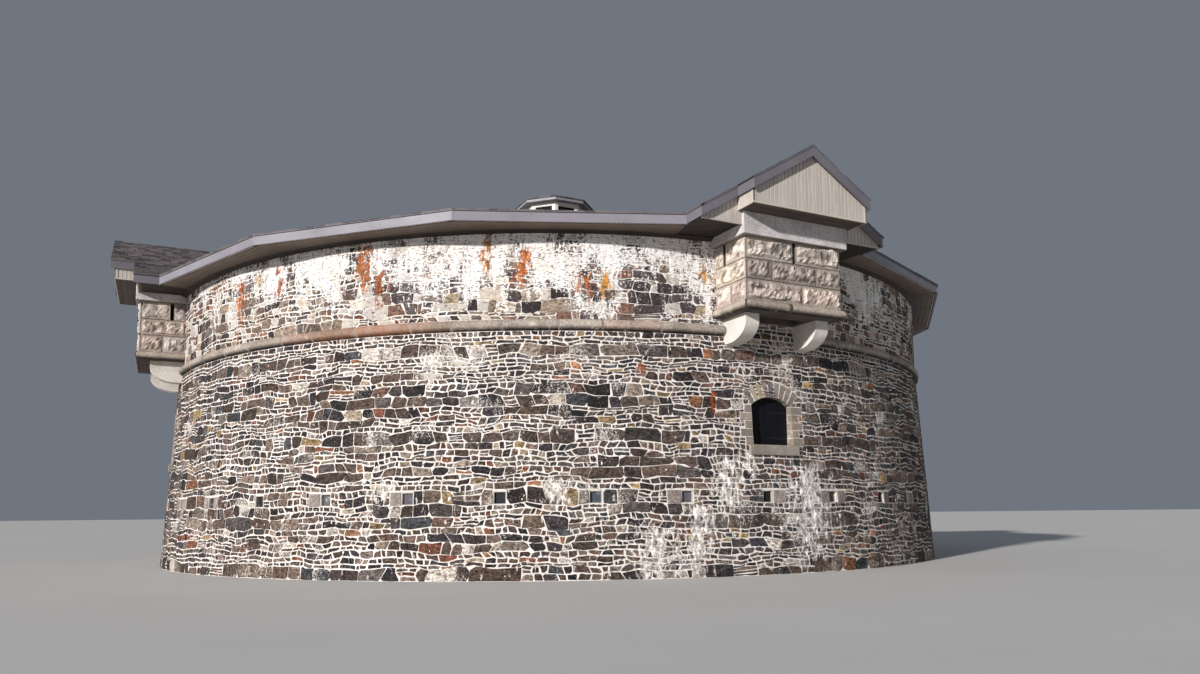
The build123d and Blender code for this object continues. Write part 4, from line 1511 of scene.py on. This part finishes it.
def valley_radius(offset):
    """Distance from the axis at which a dormer's slope meets the main roof."""
    return eave_apothem - DORMER_SLOPE * (dormer_half - offset) / ROOF_SLOPE


def lay_roof_shingles(quarters):
    """Shingles of the sixteen slopes, four to a pile, clear of the dormers' roofs."""
    run = 1 / math.hypot(1, ROOF_SLOPE)
    start = (eave_apothem - valley_radius(0)) / run

    def facet_ends(distance):
        half = (eave_apothem - distance * run) * math.tan(HALF_FACET)
        return -half, half

    def upper_ends(distance):
        return facet_ends(distance + start)

    def side_ends(hand, distance):
        half = facet_ends(distance)[1]
        valley = dormer_half - distance * run * ROOF_SLOPE / DORMER_SLOPE
        return sorted((hand * min(half, valley - 0.03), hand * half))
    for number, pile in enumerate(quarters):
        for turn in facet_turns[number * 4:number * 4 + 4]:
            surface = roof_facet(turn, eave_apothem, eave_top, ROOF_SLOPE)
            if turn % 90:
                shingle_rows(pile, surface, (eave_apothem - cupola_apothem) / run, facet_ends)
                continue
            upper = roof_facet(turn, valley_radius(0), eave_top + start * ROOF_SLOPE * run, ROOF_SLOPE)
            shingle_rows(pile, upper, (valley_radius(0) - cupola_apothem) / run, upper_ends)
            for hand in HANDS:
                shingle_rows(pile, surface, start, partial(side_ends, hand))


def lay_hip_caps(pile):
    slope = ROOF_SLOPE * math.cos(HALF_FACET)
    corner = eave_apothem / math.cos(HALF_FACET)
    length = (corner - CUPOLA_RADIUS) * math.hypot(1, slope)
    for turn in facet_turns:
        surface = roof_facet(turn + FACET_ANGLE / 2, corner, eave_top, slope)
        low = 0
        while low < length - 0.1:
            high = low + 0.22
            points = [
                (-0.1, low, 0.008), (0, low, 0.03), (0.1, low, 0.008),
                (0.09, high, 0.002), (0, high, 0.022), (-0.09, high, 0.002),
                (-0.1, low, -0.02), (0.1, low, -0.02),
            ]
            pile.add(surface, points, [(0, 1, 4, 5), (1, 2, 3, 4), (6, 7, 2, 1, 0)], cap_tint(pile.rng))
            low += CAP_LENGTH


def lay_dormer_shingles(pile, turn):
    run = 1 / math.hypot(1, DORMER_SLOPE)
    edge = narrow_front + EDGE_LAP

    def ends(distance):
        offset = dormer_half - distance * run
        front = narrow_front if offset < NARROW_HALF else wide_front
        return valley_radius(offset) - 0.1, front + EDGE_LAP
    points = [(wide_front, -0.02, 0.012), (edge, -0.02, 0.012), (edge, 0.1, 0.004), (wide_front, 0.1, 0.004)]
    points += [(wide_front, -0.02, -0.02), (edge, -0.02, -0.02)]
    slopes = [dormer_facet(turn, hand, dormer_half) for hand in HANDS]
    for hand, slope in zip(HANDS, slopes):
        shingle_rows(pile, slope, dormer_half / run, ends)
        pile.add(dormer_facet(turn, hand, NARROW_HALF), points, [(0, 1, 2, 3), (4, 5, 1, 0)])
    start, top = valley_radius(0) - 0.1, dormer_half / run
    low = top - CAP_WIDTH
    while start < edge - 0.01:
        end = min(start + CAP_LENGTH, edge)
        tint = cap_tint(pile.rng)
        for slope in slopes:
            flap = [(start, low, 0.02), (end, low, 0.016), (end, top, 0.016), (start, top, 0.02)]
            pile.add(slope, flap, [(0, 1, 2, 3)], tint)
        start = end


hips, *quarters = piles(90, 1 + len(QUARTERS))
lay_roof_shingles(quarters)
lay_hip_caps(hips)
for name, pile in zip(QUARTERS, quarters):
    pile.make(f"roof_shingles_{name}", shingles, "roof_shingle")
hips.make("roof_hips", shingles, "roof_shingle")
for name, turn in SIDES.items():
    pile, = piles(100 + turn, 1)
    lay_dormer_shingles(pile, turn)
    pile.make(f"dormer_shingles_{name}", shingles, "roof_shingle")


# Rake trims: a folded lip along the top of each sloping board, and one along its foot

RAKE_LIPS = ((0.0, 0.026, 0.009), (0.19, 0.02, 0.006))


def make_rakes():
    pile, = piles(110, 1)
    for turn in SIDES.values():
        for radius, start, stop in ((narrow_front, 0, NARROW_HALF), (wide_front, NARROW_HALF, dormer_half)):
            face = flat_face(turn, radius)
            for hand in HANDS:
                for drop, depth, proud in RAKE_LIPS:
                    ends = [(hand * offset, slope_height(offset) - drop) for offset in (start, stop)]
                    outline = ends + [(u, v - depth) for u, v in reversed(ends)]
                    if hand > 0:
                        outline.reverse()
                    pile.stack(face, [level(outline, 0), level(outline, proud)])
    pile.make("rake_trims", dormer_metal, "fascia_metal")


make_rakes()


# Cupola: posts, rails and a small shingled roof

def make_cupola():
    woods, roof, metal = piles(120, 3)
    half = CUPOLA_RADIUS * math.sin(HALF_PANE)
    reach = CUPOLA_EAVE_RADIUS * math.cos(HALF_PANE)
    eave = frame_high.z + CUPOLA_EAVE_HEIGHT
    slope = (cupola_top - eave) / reach
    stretch = math.hypot(1, slope)

    def ends(distance):
        wide = max(0, reach - distance / stretch) * math.tan(HALF_PANE)
        return -wide, wide
    for number in range(CUPOLA_SIDES):
        turn = number * 360 / CUPOLA_SIDES
        face = flat_face(turn, cupola_apothem)
        for hand in HANDS:
            inner, outer = hand * (half - CUPOLA_POST), hand * (half + 0.006)
            woods.bar(face, inner, outer, frame_low.z, frame_high.z, 0.015, 0.004)
        inner = half - CUPOLA_POST
        woods.bar(face, -inner, inner, frame_low.z, frame_low.z + 0.09, 0.01, 0.004)
        woods.bar(face, -inner, inner, frame_high.z - 0.1, frame_high.z, 0.01, 0.004)
        woods.bar(face, -half - 0.02, half + 0.02, frame_low.z - 0.03, frame_low.z, 0.045, 0.006)
        shingle_rows(roof, roof_facet(turn, reach, eave, slope), reach * stretch - 0.05, ends)
        metal.bar(flat_face(turn, reach), *ends(0), eave - 0.02, eave, 0.01, 0.002)
    woods.make("cupola_timbers", white_paint, "white_timber")
    roof.make("cupola_shingles", shingles, "roof_shingle")
    metal.make("cupola_trims", fascia_metal, "fascia_metal")


make_cupola()


# Finishes of the frame's own solids

FINISHES = {
    "string_course": bed_stone,
    "sills": bed_stone,
    "window_shutters": shutter_paint,
    "entrance_door": shutter_paint,
    "first_floor": soffit_boards,
    "gun_platform": floor_stone,
    "corbels": corbel_stone,
    "machicolation_caps": bed_stone,
    # The wall plate and soffit solid take the dark trim, partly painted shade under the eaves.
    "wall_plate": dark_trim,
    "eaves_soffit": dark_trim,
    "eaves_fascia": fascia_metal,
    "cupola_curb": white_paint,
    "cupola_frame": white_paint,
    "cupola_glass": glass,
    "cupola_roof": fascia_metal,
}
for number in range(WALL_SEGMENTS):
    FINISHES[f"lower_wall_{number + 1}"] = mortar
for name in QUARTERS:
    FINISHES[f"parapet_{name}"] = limewashed_mortar
    FINISHES[f"roof_deck_{name}"] = shingles
for name in SIDES:
    FINISHES[f"machicolation_floor_{name}"] = shaded_stone
    FINISHES[f"machicolation_wall_{name}"] = joint_stone
    FINISHES[f"dormer_gable_{name}"] = groove_paint
    FINISHES[f"dormer_roof_{name}"] = dormer_metal
for name, finish in FINISHES.items():
    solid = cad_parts[name]
    solid.data.materials.clear()
    solid.data.materials.append(finish)


# Floor, light and camera

FLOOR_REACH = 4000
KEY_TURN = -63
KEY_HEIGHT = math.radians(17)
# Solved from the photograph: where the camera stands, how it is turned, and its lens in pixels
CAMERA_PLACE = Vector((-11.047, -24.717, 1.211))
CAMERA_YAW = 0.0516
CAMERA_PITCH = 0.0865
CAMERA_ROLL = -0.0098
LENS_PIXELS = 862.6
IMAGE_WIDTH = 1200
IMAGE_HEIGHT = 674
CENTRE_ROW = 439.99
SENSOR_WIDTH = 36.0


def make_floor():
    mesh = bpy.data.meshes.new("floor")
    square = rectangle(-FLOOR_REACH, FLOOR_REACH, -FLOOR_REACH, FLOOR_REACH)
    mesh.from_pydata(level(square, 0), [], [(0, 1, 2, 3)])
    look = Look("floor_paint", 0.95, 0.05)
    mesh.materials.append(look.done(look.ramp(look.noise(0.3, 3), (0.3, "#cfcdca"), (0.7, "#d3d1ce"))))
    floor = bpy.data.objects.new("floor", mesh)
    bpy.context.scene.collection.objects.link(floor)


def make_lights():
    lamp = bpy.data.lights.new("key", "SUN")
    lamp.energy = 4.4
    lamp.angle = math.radians(2.5)
    lamp.color = (1.0, 0.97, 0.945)
    key = bpy.data.objects.new("key", lamp)
    toward_light = directions(KEY_TURN)[0] * math.cos(KEY_HEIGHT) + Vector((0, 0, math.sin(KEY_HEIGHT)))
    key.rotation_euler = (-toward_light).to_track_quat("-Z", "Y").to_euler()
    bpy.context.scene.collection.objects.link(key)
    world = bpy.data.worlds.new("studio")
    world.use_nodes = True
    background = world.node_tree.nodes["Background"]
    background.inputs["Color"].default_value = (0.72, 0.82, 0.97, 1)
    background.inputs["Strength"].default_value = 0.22
    bpy.context.scene.world = world


def make_camera():
    lens = bpy.data.cameras.new("camera")
    lens.sensor_width = SENSOR_WIDTH
    lens.lens = LENS_PIXELS / IMAGE_WIDTH * SENSOR_WIDTH
    lens.shift_y = (CENTRE_ROW - IMAGE_HEIGHT / 2) / IMAGE_WIDTH
    lens.clip_end = 2 * FLOOR_REACH
    camera = bpy.data.objects.new("camera", lens)
    heading = math.atan2(-CAMERA_PLACE.x, -CAMERA_PLACE.y) + CAMERA_YAW
    forward = Vector((
        math.sin(heading) * math.cos(CAMERA_PITCH),
        math.cos(heading) * math.cos(CAMERA_PITCH),
        math.sin(CAMERA_PITCH),
    ))
    facing = forward.to_track_quat("-Z", "Y").to_matrix().to_4x4()
    camera.matrix_world = Matrix.Translation(CAMERA_PLACE) @ facing @ Matrix.Rotation(CAMERA_ROLL, 4, "Z")
    bpy.context.scene.collection.objects.link(camera)
    bpy.context.scene.camera = camera


make_floor()
make_lights()
make_camera()
bpy.context.scene.view_settings.view_transform = "Standard"
